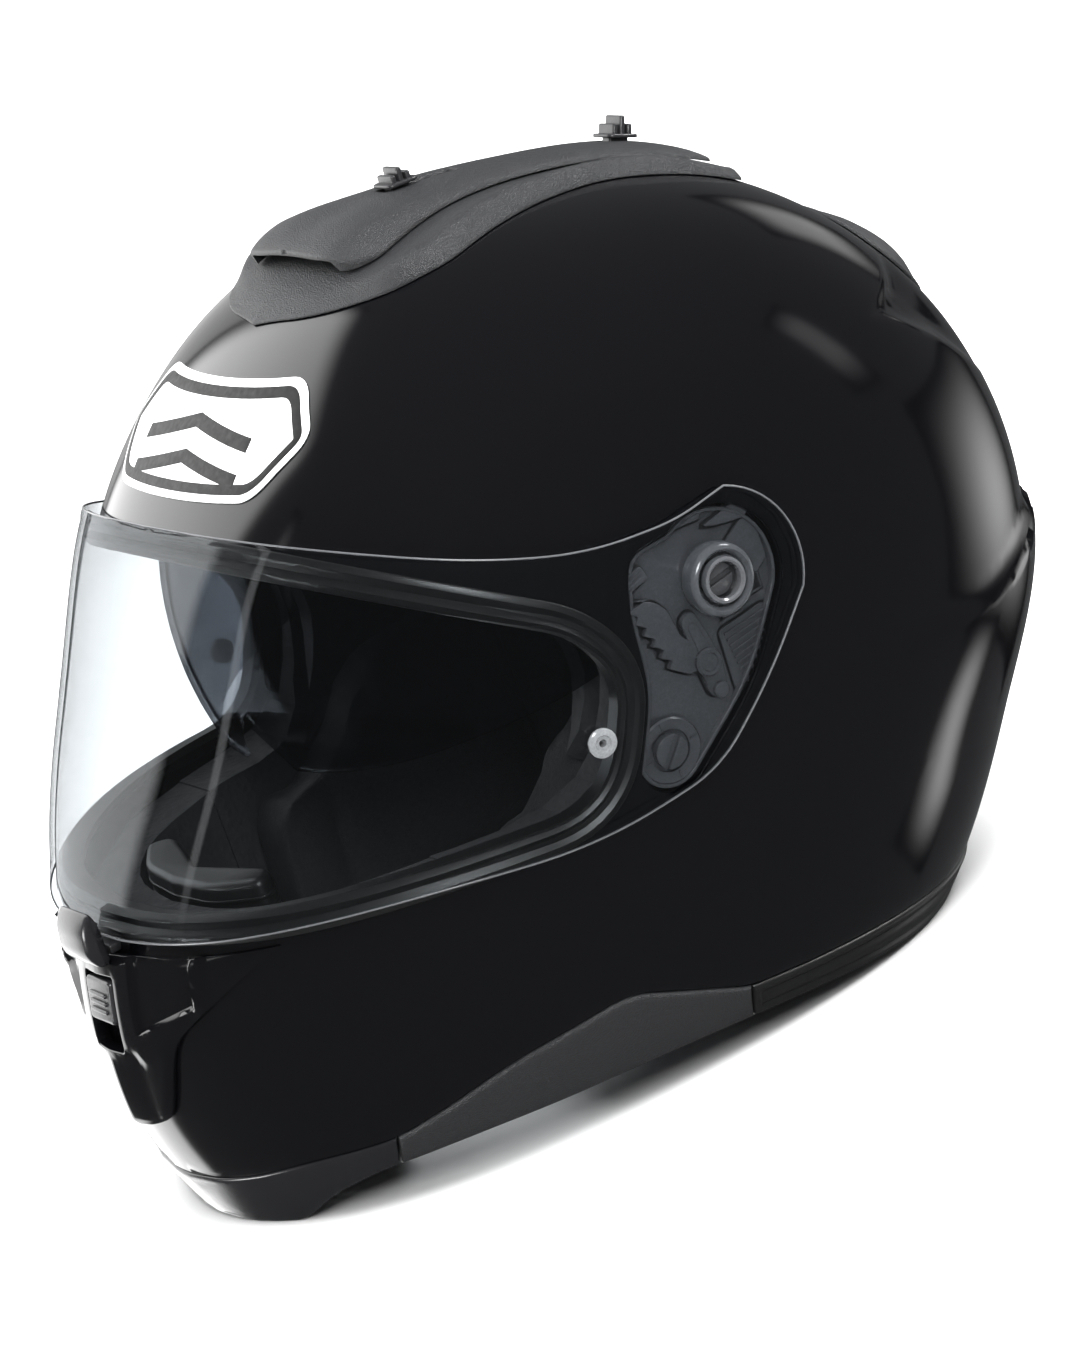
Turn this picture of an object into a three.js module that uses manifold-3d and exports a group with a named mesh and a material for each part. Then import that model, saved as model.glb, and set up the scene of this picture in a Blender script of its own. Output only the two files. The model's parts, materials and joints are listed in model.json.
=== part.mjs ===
// Full-face motorcycle helmet, standing on its rim. Millimetres, +Z up.
// The wearer looks along -Y and the wearer's left is +X. The origin is the
// centre of the box that holds the helmet, on the surface it stands on.
import * as THREE from 'three';
import { mergeVertices } from 'three/addons/utils/BufferGeometryUtils.js';
import Module from 'manifold-3d';

const wasm = await Module();
wasm.setup();

// ---------------------------------------------------------------- dimensions
// Outlines are drawn in the side view as (f, z): f runs forward from the visor
// pivot and z runs up from the rim. Plan outlines are (x, f), front ones (x, z).
const PIVOT_Z = 152;          // height of the visor pivot above the rim
const CENTRE_F = 12.1;        // box centre, forward of the pivot
const HALF_WIDTH = 125;       // shell, centre to side
// Radius of the shell's middle section round the pivot, one control value for
// each 22.5 degrees from straight back, under the chin, over the crown.
const PROFILE = [161, 168, 167, 191, 208, 226, 242, 196, 136, 123, 114, 114, 112, 112, 129, 144];
// How far the cross section bulges past an ellipse, each 45 degrees.
const BULGE = [0.065, 0.09, 0.02, -0.03, 0.082, 0.074, 0.018, 0.06];

const SHELL = 4;              // shell wall
const LINER = 40;             // shell face to inside of the energy liner
const GAP = 0.35;             // between touching pieces
const POD_DEPTH = 6.5;        // recess that holds the pivot mechanism
const VISOR_PROUD = 6.6;      // visor face beyond the shell profile
const VISOR_WALL = 2.2;
const VISOR_SIDE = 3.6;       // visor face beyond the shell's side
const SUN_R = 107;            // sun visor radius round the pivot
const SUN_W = 101;            // sun visor half width
const SUN_WALL = 1.8;
const HUB_R = 5.4;
const HUB_HEAD_R = 7.6;
const HUB_SLACK = 0.4;        // between a hub and the bores that turn on it
const LOWER_SCREW = [31, 109];
const FINE = { ring: 32, sides: 12 };    // facets round the pivot and from side to side
const COARSE = { ring: 20, sides: 8 };   // the same on the liners

// ------------------------------------------------------------------ surfaces
function splineAt(controls, angle) {
  const n = controls.length;
  const u = ((angle + Math.PI) / (2 * Math.PI)) * n;
  const i = Math.floor(u);
  const t = u - i;
  const c = (k) => controls[(((i + k) % n) + n) % n];
  return ((1 - t) ** 3 * c(-1) + (3 * t ** 3 - 6 * t ** 2 + 4) * c(0)
    + (-3 * t ** 3 + 3 * t ** 2 + 3 * t + 1) * c(1) + t ** 3 * c(2)) / 6;
}

// The helmet's own form, and the round form that the sun visor turns in.
const helmetForm = {
  radius: (psi) => splineAt(PROFILE, psi),
  bulge: (psi) => splineAt(BULGE, psi),
  halfWidth: HALF_WIDTH,
};
const sunForm = { radius: () => SUN_R, bulge: () => 0.06, halfWidth: SUN_W };

// A point of a form: psi is round the pivot, tilt runs from side to side, and
// the form is grown by out in its middle section and by side at its sides.
function formPoint(form, psi, tilt, out, side) {
  const bow = 1 + form.bulge(psi) * Math.sin(2 * tilt) ** 2;
  const r = (form.radius(psi) + out) * bow * Math.cos(tilt);
  const x = (form.halfWidth + side) * bow * Math.sin(tilt);
  return [x, CENTRE_F - r * Math.cos(psi), PIVOT_Z + r * Math.sin(psi)];
}

// The closed surface of a form, as a solid.
function egg(out, side = out, form = helmetForm, { ring, sides } = FINE) {
  const points = [];
  for (let j = 1; j < sides; j += 1) {
    const tilt = -Math.PI / 2 + (Math.PI * j) / sides;
    for (let i = 0; i < ring; i += 1) {
      const psi = -Math.PI + (2 * Math.PI * i) / ring;
      points.push(...formPoint(form, psi, tilt, out, side));
    }
  }
  const right = points.length / 3;
  const left = right + 1;
  points.push(...formPoint(form, 0, -Math.PI / 2, out, side));
  points.push(...formPoint(form, 0, Math.PI / 2, out, side));
  const faces = [];
  for (let i = 0; i < ring; i += 1) {
    const k = (i + 1) % ring;
    faces.push(right, i, k);
    for (let j = 0; j < sides - 2; j += 1) {
      const a = j * ring;
      const b = a + ring;
      faces.push(a + i, b + k, a + k, a + i, b + i, b + k);
    }
    const last = (sides - 2) * ring;
    faces.push(left, last + k, last + i);
  }
  const geometry = new THREE.BufferGeometry();
  geometry.setAttribute('position', new THREE.Float32BufferAttribute(points, 3));
  geometry.setIndex(faces);
  return solid(geometry);
}

function softEgg(out) {
  return egg(out, out, helmetForm, COARSE);
}

// The skin between two grown copies of the helmet's form.
function skin(outer, inner) {
  return egg(outer).subtract(egg(inner));
}

// ------------------------------------------------------------ solids and cuts
function solid(geometry) {
  const bare = geometry.clone();
  bare.deleteAttribute('normal');
  bare.deleteAttribute('uv');
  const merged = mergeVertices(bare, 1e-4);
  return new wasm.Manifold(new wasm.Mesh({
    numProp: 3,
    vertProperties: new Float32Array(merged.getAttribute('position').array),
    triVerts: new Uint32Array(merged.getIndex().array),
  }));
}

function geometryOf(body) {
  const mesh = body.getMesh();
  const geometry = new THREE.BufferGeometry();
  geometry.setAttribute('position', new THREE.BufferAttribute(mesh.vertProperties, 3));
  geometry.setIndex(new THREE.BufferAttribute(mesh.triVerts, 1));
  geometry.computeVertexNormals();
  return geometry;
}

// An outline from corner points [u, v] or [u, v, corner radius].
function outline(corners) {
  const shape = new THREE.Shape();
  const n = corners.length;
  corners.forEach(([u, v, r = 0], i) => {
    const [pu, pv] = corners[(i + n - 1) % n];
    const [nu, nv] = corners[(i + 1) % n];
    const before = Math.hypot(pu - u, pv - v);
    const after = Math.hypot(nu - u, nv - v);
    const cut = Math.min(r, before / 2.01, after / 2.01);
    const start = [u + ((pu - u) * cut) / before, v + ((pv - v) * cut) / before];
    const end = [u + ((nu - u) * cut) / after, v + ((nv - v) * cut) / after];
    if (i === 0) shape.moveTo(...start);
    else shape.lineTo(...start);
    if (cut > 0) shape.quadraticCurveTo(u, v, ...end);
  });
  shape.closePath();
  return shape;
}

function arc(centre, radius, from, to, steps) {
  const points = [];
  for (let i = 0; i <= steps; i += 1) {
    const a = THREE.MathUtils.degToRad(from + ((to - from) * i) / steps);
    points.push([centre[0] + radius * Math.cos(a), centre[1] + radius * Math.sin(a)]);
  }
  return points;
}

// Moves each edge of a convex-cornered outline outwards by d.
function grow(corners, d) {
  const n = corners.length;
  const turn = corners.reduce((sum, [u, v], i) => {
    const [nu, nv] = corners[(i + 1) % n];
    return sum + u * nv - nu * v;
  }, 0);
  const sign = Math.sign(turn);
  return corners.map(([u, v, r = 0], i) => {
    const [pu, pv] = corners[(i + n - 1) % n];
    const [nu, nv] = corners[(i + 1) % n];
    const a = new THREE.Vector2(u - pu, v - pv).normalize();
    const b = new THREE.Vector2(nu - u, nv - v).normalize();
    const miter = new THREE.Vector2(a.y + b.y, -a.x - b.x).multiplyScalar(sign);
    miter.multiplyScalar(d / (1 + a.dot(b)));
    return [u + miter.x, v + miter.y, Math.max(r + d, 0)];
  });
}

function prism(corners, depth, curveSegments = 3) {
  return new THREE.ExtrudeGeometry(outline(corners), {
    depth, bevelEnabled: false, curveSegments,
  });
}

// Prisms of an outline in the side, plan and front view.
function sidePrism(corners, x0 = -200, x1 = 200) {
  const basis = new THREE.Matrix4().makeBasis(
    new THREE.Vector3(0, -1, 0), new THREE.Vector3(0, 0, 1), new THREE.Vector3(-1, 0, 0),
  ).setPosition(x1, CENTRE_F, 0);
  return solid(prism(corners, x1 - x0).applyMatrix4(basis));
}

function planPrism(corners, z0, z1) {
  const basis = new THREE.Matrix4().makeBasis(
    new THREE.Vector3(1, 0, 0), new THREE.Vector3(0, -1, 0), new THREE.Vector3(0, 0, -1),
  ).setPosition(0, CENTRE_F, z1);
  return solid(prism(corners, z1 - z0).applyMatrix4(basis));
}

function frontPrism(corners, f0, f1) {
  const basis = new THREE.Matrix4().makeBasis(
    new THREE.Vector3(1, 0, 0), new THREE.Vector3(0, 0, 1), new THREE.Vector3(0, -1, 0),
  ).setPosition(0, CENTRE_F - f0, 0);
  return solid(prism(corners, f1 - f0).applyMatrix4(basis));
}

// Both halves of a symmetric outline given for x >= 0 from front to back.
function mirrored(half) {
  const other = half.filter(([x]) => x > 0).map(([x, ...rest]) => [-x, ...rest]);
  return [...half, ...other.reverse()];
}

function box(x0, x1, f0, f1, z0, z1) {
  const geometry = new THREE.BoxGeometry(x1 - x0, f1 - f0, z1 - z0);
  geometry.translate((x0 + x1) / 2, CENTRE_F - (f0 + f1) / 2, (z0 + z1) / 2);
  return solid(geometry);
}

// The span between two distances from the middle plane, on one side.
function onSide(side, near, far) {
  return side > 0 ? [near, far] : [-far, -near];
}

// A turned piece: profile of [radius, x], its axis along X at (f, z).
function turned(profile, f, z, side, segments = 12) {
  const points = profile.map(([r, h]) => new THREE.Vector2(r, h));
  const geometry = new THREE.LatheGeometry(points, segments);
  geometry.rotateZ(-Math.PI / 2);
  if (side < 0) geometry.rotateY(Math.PI);
  geometry.translate(0, CENTRE_F - f, z);
  return solid(geometry);
}

// Where the form's side stands over (f, z), and which way it faces there.
function sideSpot(f, z, out, side) {
  const reach = Math.hypot(f, z - PIVOT_Z);
  const psi = Math.atan2(z - PIVOT_Z, f);
  const at = (p, t) => new THREE.Vector3(...formPoint(helmetForm, p, t, out, side));
  const reachAt = (t) => Math.hypot(CENTRE_F - at(psi, t).y, at(psi, t).z - PIVOT_Z);
  let [low, high] = [0, Math.PI / 2];
  for (let i = 0; i < 40; i += 1) {
    const middle = (low + high) / 2;
    if (reachAt(middle) > reach) low = middle;
    else high = middle;
  }
  const spot = at(psi, low);
  const step = 0.02;
  const round = at(psi + step, low).sub(at(psi - step, low));
  const across = at(psi, low + step).sub(at(psi, low - step));
  const normal = round.cross(across).normalize();
  if (normal.x < 0) normal.negate();
  return { spot, normal };
}

// A turned piece that stands square on the form's side: profile of [radius,
// height over the surface grown by out and side].
function stud(profile, f, z, hand, out, side, segments = 12) {
  const { spot, normal } = sideSpot(f, z, out, side);
  const points = profile.map(([r, h]) => new THREE.Vector2(r, h));
  const geometry = new THREE.LatheGeometry(points, segments);
  const turn = new THREE.Quaternion().setFromUnitVectors(new THREE.Vector3(0, 1, 0), normal);
  geometry.applyQuaternion(turn);
  geometry.translate(spot.x, spot.y, spot.z);
  const body = solid(geometry);
  return hand > 0 ? body : body.mirror([1, 0, 0]);
}

// ------------------------------------------------------------------ materials
function material(color, roughness, metalness = 0, opacity = 1) {
  return new THREE.MeshStandardMaterial({
    color, roughness, metalness, opacity, transparent: opacity < 1,
  });
}

const finishes = {
  glossBlack: material(0x08080a, 0.12),
  grainBlack: material(0x1a1b1d, 0.6),
  satinBlack: material(0x101113, 0.35),
  rubber: material(0x1c1c1c, 0.75),
  clear: material(0xe8eef2, 0.05, 0, 0.25),
  smoke: material(0x3a4047, 0.08, 0, 0.5),
  greyPlastic: material(0x4a4d50, 0.45),
  foam: material(0x202124, 0.9),
  fabric: material(0x141416, 0.95),
  webbing: material(0x101010, 0.9),
  steel: material(0xa8abb0, 0.3, 1),
  red: material(0xa01818, 0.5),
  white: material(0xe8e8e8, 0.3),
};

const helmet = new THREE.Group();
function add(name, body, finish) {
  const mesh = new THREE.Mesh(geometryOf(body), finish.clone());
  mesh.name = name;
  helmet.add(mesh);
}

// ------------------------------------------------------------------- outlines
const eyeport = [[175, 238], [50, 156, 16], [41, 138, 12], [56, 104, 18], [110, 107.5, 30], [215, 109]];
const visorEdge = [
  [178, 240], [68, 188, 40], [38, 178, 20], [8, 175.5, 8],
  ...arc([0, 152], 28, 112, 208, 5),
  [-4, 118, 14], [20, 99, 12], [62, 94.5, 30], [130, 103, 40], [215, 100],
];
const pod = [
  ...arc([0, 152], 22.5, 62, 208, 6),
  [-2, 118, 12],
  ...arc(LOWER_SCREW, 12.5, 225, 350, 4),
  [33, 130, 8], [31, 156, 8], [25, 171, 6],
];
const seamLine = [
  [-130, 11], [-75, 11, 20], [-40, 14.5, 10], [0, 19, 8], [22, 22, 4], [63, 41, 8], [102, 36, 10],
  [137, 24, 6], [160, 23, 6], [172, 20, 4], [182, 17.5], [220, 17.5],
];
const rimLine = [
  [-130, 0], [-56, 0, 8], [-16, 6, 12], [24, 11.5, 20], [60, 14.5, 20], [116, 16, 20],
  [143, 14, 6], [154, 9, 4], [160, 0, 2], [220, 0],
];
// Neck opening in plan, half outline from the chin back.
const neck = [
  [0, 150], [30, 147, 14], [57, 130, 20], [76, 95, 20], [84, 50, 20], [85, 0, 20],
  [82, -25, 14], [68, -50, 20], [40, -61, 12], [0, -64],
];

function above(line, lift) {
  const raised = line.map(([f, z, r]) => [f, z + lift, r]);
  return [...raised, [220, 330], [-220, 330], [-220, line[0][1] + lift]];
}

function between(low, high, drop) {
  const top = high.map(([f, z, r]) => [f, z - drop, r]).reverse();
  return [...low, ...top];
}

// ---------------------------------------------------------------------- shell
const podCut = sidePrism(pod);
const podRoom = sidePrism(grow(pod, 4));

function sunken(out) {
  // The form grown by out, with the two pivot recesses pressed in.
  const recess = out === 0 ? podCut : podRoom;
  return egg(out).subtract(recess.subtract(egg(out - POD_DEPTH)));
}

const shellCut = sidePrism(grow(eyeport, 3));
const aboveSeam = sidePrism(above(seamLine, 0));
add('outer_shell', sunken(0).subtract(sunken(-SHELL)).intersect(aboveSeam).subtract(shellCut),
  finishes.glossBlack);

// ------------------------------------------------------------- eyeport gasket
{
  const lip = skin(GAP + 0.15, -6).intersect(sidePrism(grow(eyeport, 3 - GAP)));
  const face = egg(3.2, 0.7).subtract(egg(GAP)).intersect(sidePrism(grow(eyeport, 9)));
  const front = box(-140, 140, 25, 220, 80, 240);
  add('eyeport_gasket', lip.add(face).subtract(sidePrism(eyeport)).intersect(front), finishes.rubber);
}

// ------------------------------------------------------------------ rim trims
const rimBand = between(rimLine, seamLine, GAP);
const rimBody = egg(0.7).subtract(egg(-9)).intersect(sidePrism(rimBand));
{
  const wall = 260;
  add('front_rim_trim', rimBody.intersect(box(-wall, wall, 137.2, wall, -5, 60)), finishes.satinBlack);
  add('rear_rim_trim', rimBody.intersect(box(-wall, wall, -wall, 21.8, -5, 60)), finishes.rubber);
  add('side_skirt_left', rimBody.intersect(box(1, wall, 22.2, 136.8, -5, 60)), finishes.grainBlack);
  add('side_skirt_right', rimBody.intersect(box(-wall, -1, 22.2, 136.8, -5, 60)), finishes.grainBlack);
}

// --------------------------------------------------------------------- liners
const LINER_SLACK = 3.4;      // covers the coarse facets under the shell's finer ones
const cavity = softEgg(-LINER).intersect(box(-200, 200, -200, 200, PIVOT_Z - 90, 330))
  .add(planPrism(mirrored(neck), -20, PIVOT_Z));
const sunSweep = [[-17, 134], [60, 92], [140, 90], [150, 300], [20, 300], [-17, 170]];
const sunPocket = egg(9, 5, sunForm).subtract(egg(-3, -3, sunForm)).intersect(sidePrism(sunSweep));
const eyeHole = sidePrism(grow(eyeport, 7));
const pivotBore = [[0, 80], [6.5, 80], [6.5, 118], [0, 118]];
const pivotHoles = [1, -1].map((side) => turned(pivotBore, 0, PIVOT_Z, side));
const strapSlots = [1, -1].map((side) => box(...onSide(side, 83, 96), -5, 25, 14, 84));
const linerRecess = sidePrism(grow(pod, 6)).subtract(softEgg(-POD_DEPTH - SHELL - LINER_SLACK));
const linerStock = softEgg(-SHELL - LINER_SLACK).subtract(linerRecess)
  .intersect(sidePrism(above(seamLine, 1)));
{
  let main = linerStock.subtract(cavity).subtract(sunPocket).subtract(eyeHole);
  [...pivotHoles, ...strapSlots].forEach((cut) => { main = main.subtract(cut); });
  const frontFace = [
    [-250, -10], [96, -10], [96, 150], [84, 194], [100, 230], [110, 330], [-250, 330],
  ];
  add('eps_liner', main.intersect(sidePrism(frontFace)), finishes.foam);
  const chin = linerStock.subtract(cavity).subtract(eyeHole);
  const chinBlock = sidePrism([[96.4, -10], [230, -10], [230, 99], [96.4, 99]]);
  add('chin_eps', chin.intersect(chinBlock), finishes.foam);
}

// Comfort liner: the dome and the back of the head.
{
  const dome = softEgg(-LINER - 0.4).subtract(softEgg(-LINER - 7));
  const cover = [
    [104, 330], [104, 192, 10], [84, 190, 14], [40, 172, 14], [18, 130, 10], [-45, 130, 20],
    [-66, 70, 14], [-90, 64], [-220, 64], [-220, 330],
  ];
  add('crown_liner', dome.intersect(sidePrism(cover)), finishes.fabric);
}

// Cheek pads stand against the liner's inner walls.
const padFace = [[66, -30], [62, 20, 20], [56, 70, 20], [40, 100], [200, 100], [200, -30]];
const padSide = [
  [-24, 34, 8], [70, 32, 8], [92, 46, 8], [92, 88, 8], [62, 98, 10], [32, 124, 10], [-24, 124, 8],
];
const padRoom = planPrism(grow(mirrored(neck), -0.4), 20, 140);
for (const [name, side] of [['cheek_pad_left', 1], ['cheek_pad_right', -1]]) {
  const block = padRoom
    .intersect(planPrism(padFace.map(([x, f, r]) => [side * x, f, r]), 20, 140))
    .intersect(sidePrism(padSide));
  add(name, block, finishes.fabric);
}

// Neck roll round the back of the opening.
{
  const ring = padRoom.subtract(planPrism(grow(mirrored(neck), -14), 0, 150));
  add('neck_roll', ring.intersect(box(-200, 200, -200, -28, 20, 58)), finishes.fabric);
}

// Breath guard on top of the chin liner and the curtain under it.
{
  const nose = [[0, 148], [22, 146, 6], [40, 136, 6], [34, 128, 8], [0, 138]];
  const guard = planPrism(mirrored(nose), 84, 106);
  add('breath_guard', guard, finishes.rubber);
  const hem = [[0, 149], [30, 146, 14], [50, 134, 10], [40, 122, 10], [0, 122]];
  add('chin_curtain', planPrism(mirrored(hem), 16, 18.5), finishes.fabric);
}

// ---------------------------------------------------------------------- visor
const visorOuter = egg(VISOR_PROUD, VISOR_SIDE);
const visorInner = egg(VISOR_PROUD - VISOR_WALL, VISOR_SIDE - VISOR_WALL);
const INSERT_PIN = [54, 124];
const visorFace = [VISOR_PROUD, VISOR_SIDE];
{
  let pane = visorOuter.subtract(visorInner).intersect(sidePrism(visorEdge));
  for (const side of [1, -1]) {
    const hubHole = [[0, 100], [HUB_R + HUB_SLACK, 100], [HUB_R + HUB_SLACK, 140], [0, 140]];
    const pinHole = [[0, -8], [2.4, -8], [2.4, 8], [0, 8]];
    pane = pane.subtract(turned(hubHole, 0, PIVOT_Z, side));
    pane = pane.subtract(stud(pinHole, ...INSERT_PIN, side, ...visorFace));
  }
  add('visor', pane, finishes.clear);
}

// Anti-fog insert pins: a rivet with a head on each face of the visor.
const pinNeck = -VISOR_WALL - 1.4;
const pinProfile = [
  [0, -5.4], [4.2, -5.4], [4.2, pinNeck], [2, pinNeck], [2, 0.2], [3.4, 0.2], [3.4, 1.2], [0, 1.2],
];
for (const [name, side] of [['insert_pin_left', 1], ['insert_pin_right', -1]]) {
  add(name, stud(pinProfile, ...INSERT_PIN, side, ...visorFace), finishes.clear);
}

// Lock tab at the bottom of the visor, and the post that it hooks.
{
  const tab = [
    [178.2, 92, 1], [182, 91, 3], [185.5, 96, 4], [184.2, 104, 5], [180, 109, 2], [178.2, 104],
  ];
  const width = [[12, 80], [12, 100, 5], [8, 113, 5], [-8, 113, 5], [-12, 100, 5], [-12, 80]];
  const tabBody = sidePrism(tab, -12, 12).intersect(frontPrism(width, 170, 210));
  add('visor_lock_tab', tabBody, finishes.satinBlack);
  const post = [[165, 95.4], [177, 95.4], [177, 98, 1], [165, 98.6]];
  add('visor_lock_post', sidePrism(post, -8, 8).subtract(egg(GAP)), finishes.satinBlack);
}

// ---------------------------------------------- pivot mechanism on each side
const screwSlot = (centre, half = 4.4) => [centre - half, centre + half];
const mech = { floor: -POD_DEPTH + GAP, deck: -4.4, upper: -4.1, top: -1.8 };
const toothed = [];
for (let i = 0; i < 6; i += 1) {
  const [f, z] = [28 - i * 1.3, 157 - i * 4.3];
  toothed.push([f, z], [f - 3, z - 1.2]);
}
const leverEdge = [
  [8.5, 138, 3], [11, 147, 3], [16, 145, 3], [14, 126, 4], [13, 118, 3], [7.5, 118.5, 3], [6, 127, 4],
];
for (const [tag, side] of [['left', 1], ['right', -1]]) {
  const half = onSide(side, 90, 140);
  const bore = [[0, 90], [HUB_R + HUB_SLACK, 90], [HUB_R + HUB_SLACK, 140], [0, 140]];
  const plate = egg(mech.deck).subtract(egg(mech.floor)).intersect(sidePrism(grow(pod, -0.8), ...half))
    .subtract(turned(bore, 0, PIVOT_Z, side));
  add(`base_plate_${tag}`, plate, finishes.greyPlastic);
  const rack = egg(mech.top).subtract(egg(mech.upper))
    .intersect(sidePrism([[36, 158], ...toothed, [36, 131]], ...half))
    .intersect(sidePrism(grow(pod, -1.2), ...half));
  add(`detent_rack_${tag}`, rack, finishes.greyPlastic);
  const lever = egg(mech.top).subtract(egg(mech.upper)).intersect(sidePrism(leverEdge, ...half));
  add(`release_lever_${tag}`, lever, finishes.greyPlastic);

  const hubFoot = HALF_WIDTH - POD_DEPTH + GAP;
  const hubTop = HALF_WIDTH + VISOR_SIDE;
  const hub = turned([
    [0, hubFoot], [HUB_R, hubFoot], [HUB_R, hubTop + 0.3], [HUB_HEAD_R, hubTop + 0.3],
    [HUB_HEAD_R - 0.5, hubTop + 1.4], [0, hubTop + 1.4],
  ], 0, PIVOT_Z, side, 20);
  const slot = box(...onSide(side, hubTop + 0.4, 140), ...screwSlot(0), ...screwSlot(PIVOT_Z, 0.9));
  add(`visor_hub_${tag}`, hub.subtract(slot), finishes.greyPlastic);

  const cap = [[0, 0.3], [9.6, 0.3], [9.6, 1.5], [5.8, 1.5], [5.4, 2.6], [0, 2.6]];
  const [f, z] = LOWER_SCREW;
  const nick = box(...onSide(side, 119.5, 140), ...screwSlot(f), ...screwSlot(z, 0.9));
  const screw = stud(cap, f, z, side, mech.deck, mech.deck, 16).subtract(nick);
  add(`lower_screw_${tag}`, screw, finishes.greyPlastic);
}

// ------------------------------------------------------------------ sun visor
{
  const lowered = [
    [-12, 140, 11], [12, 138, 8], [46, 131, 10], [80, 127, 20], [150, 114], [150, 222], [92, 205, 20],
    [60, 186, 20], [20, 168, 10], [-12, 164, 11],
  ];
  const noseNotch = [[26, 100], [15, 128, 10], [0, 141, 10], [-15, 128, 10], [-26, 100]];
  let lens = egg(0.7, 0.7, sunForm).subtract(egg(0.7 - SUN_WALL, 0.7 - SUN_WALL, sunForm));
  lens = lens.intersect(sidePrism(lowered)).subtract(frontPrism(noseNotch, 50, 200));
  for (const side of [1, -1]) {
    lens = lens.subtract(turned([[0, 80], [3.4, 80], [3.4, 118], [0, 118]], 0, PIVOT_Z, side));
  }
  add('sun_visor', lens, finishes.smoke);
  for (const [name, side] of [['sun_visor_pin_left', 1], ['sun_visor_pin_right', -1]]) {
    const pin = [[0, 97.6], [5.6, 97.6], [5.6, 99.2], [3, 99.2], [3, 110], [0, 110]];
    add(name, turned(pin, 0, PIVOT_Z, side), finishes.satinBlack);
  }
}

// ----------------------------------------------------------------- crown vent
const ventSkirt = mirrored([
  [0, 57], [24, 52, 14], [38, 45, 10], [50, 33, 10], [54, 14, 12], [50, 0, 14], [38, -34, 20],
  [33, -55, 20], [36, -80, 20], [35, -104, 10], [0, -112],
]);
const ventPanel = mirrored([
  [0, 40], [20, 39, 6], [31, 35, 5], [36, 27, 6], [33, 14, 12], [26, -9, 20], [20, -36, 20],
  [19, -62, 20], [25, -84, 12], [26, -98, 8], [0, -103],
]);
const SUN_SLOT = { front: 1.3, back: -23.5, slider: -4 };    // places along f
const VENT_SLOT = { front: -73.6, back: -98, slider: -80 };
{
  const top = [150, 300];
  const base = skin(3.2, GAP).intersect(planPrism(ventSkirt, ...top));
  add('crown_vent_base', base, finishes.grainBlack);
  const flat = skin(7.6, 3.55).intersect(planPrism(ventPanel, ...top));
  const mouth = mirrored([[0, 60], [27, 60], [27, 24, 6], [0, 20]]);
  const tunnel = planPrism(mouth, ...top).intersect(egg(5.8));
  const slots = [SUN_SLOT, VENT_SLOT].map(({ front, back }) => box(-3.4, 3.4, back, front, ...top));
  let panel = flat.subtract(tunnel);
  slots.forEach((slot) => { panel = panel.subtract(slot); });
  add('crown_vent_cover', panel, finishes.grainBlack);
}

// Where the crown stands over f, grown by out, and how far it leans there.
function crownSpot(f, out) {
  const at = (psi) => new THREE.Vector3(...formPoint(helmetForm, psi, 0, out, 0));
  let [low, high] = [Math.PI / 4, 0.9 * Math.PI];
  for (let i = 0; i < 40; i += 1) {
    const middle = (low + high) / 2;
    if (CENTRE_F - at(middle).y > f) low = middle;
    else high = middle;
  }
  const along = at(low + 0.02).sub(at(low - 0.02));
  return { spot: at(low), lean: THREE.MathUtils.radToDeg(Math.atan2(along.z, along.y)) };
}

// A slider: a foot in its slot, and a cap with a rib above the panel.
function slider(f, length, rib) {
  const block = (w, l, z0, z1) => {
    const shape = new THREE.BoxGeometry(w, l, z1 - z0);
    return solid(shape.translate(0, 0, (z0 + z1) / 2));
  };
  const { spot, lean } = crownSpot(f, SLIDER_BASE);
  const foot = block(5.6, length, -4.5, 0.8);
  const cap = block(12, length + 2, 0.4, 2).add(block(3, length - 1, 1, rib));
  return foot.add(cap).rotate([lean, 0, 0]).translate([spot.x, spot.y, spot.z]);
}
const SLIDER_BASE = 8.2;      // height of a slider's middle over the shell
add('sun_visor_slider', slider(SUN_SLOT.slider, 9, 5.5), finishes.satinBlack);
add('crown_vent_slider', slider(VENT_SLOT.slider, 8, 7.5), finishes.satinBlack);

// -------------------------------------------------------------- chin vent
{
  const yoke = mirrored([
    [0, 94.5], [46, 96, 4], [73, 97, 1.5], [49, 81, 4], [31, 69, 8], [25, 54, 10], [18, 43, 5],
    [8, 40, 4], [0, 39.5],
  ]);
  const reach = [100, 230];
  const track = frontPrism([[-9, 65], [9, 65], [9, 88], [-9, 88]], ...reach);
  const intakes = [1, -1].map((side) => frontPrism([
    [side * 30, 78], [side * 44, 83], [side * 44, 91], [side * 30, 90],
  ], ...reach));
  let cover = skin(4.4, GAP).intersect(frontPrism(yoke, ...reach)).subtract(track);
  intakes.forEach((intake) => { cover = cover.subtract(intake); });
  add('chin_vent_cover', cover, finishes.glossBlack);
  const cap = frontPrism([[-8.5, 73], [8.5, 73], [8.5, 87.4], [-8.5, 87.4]], ...reach);
  add('chin_vent_slider', skin(5.6, 1.9).intersect(cap), finishes.satinBlack);
}

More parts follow.
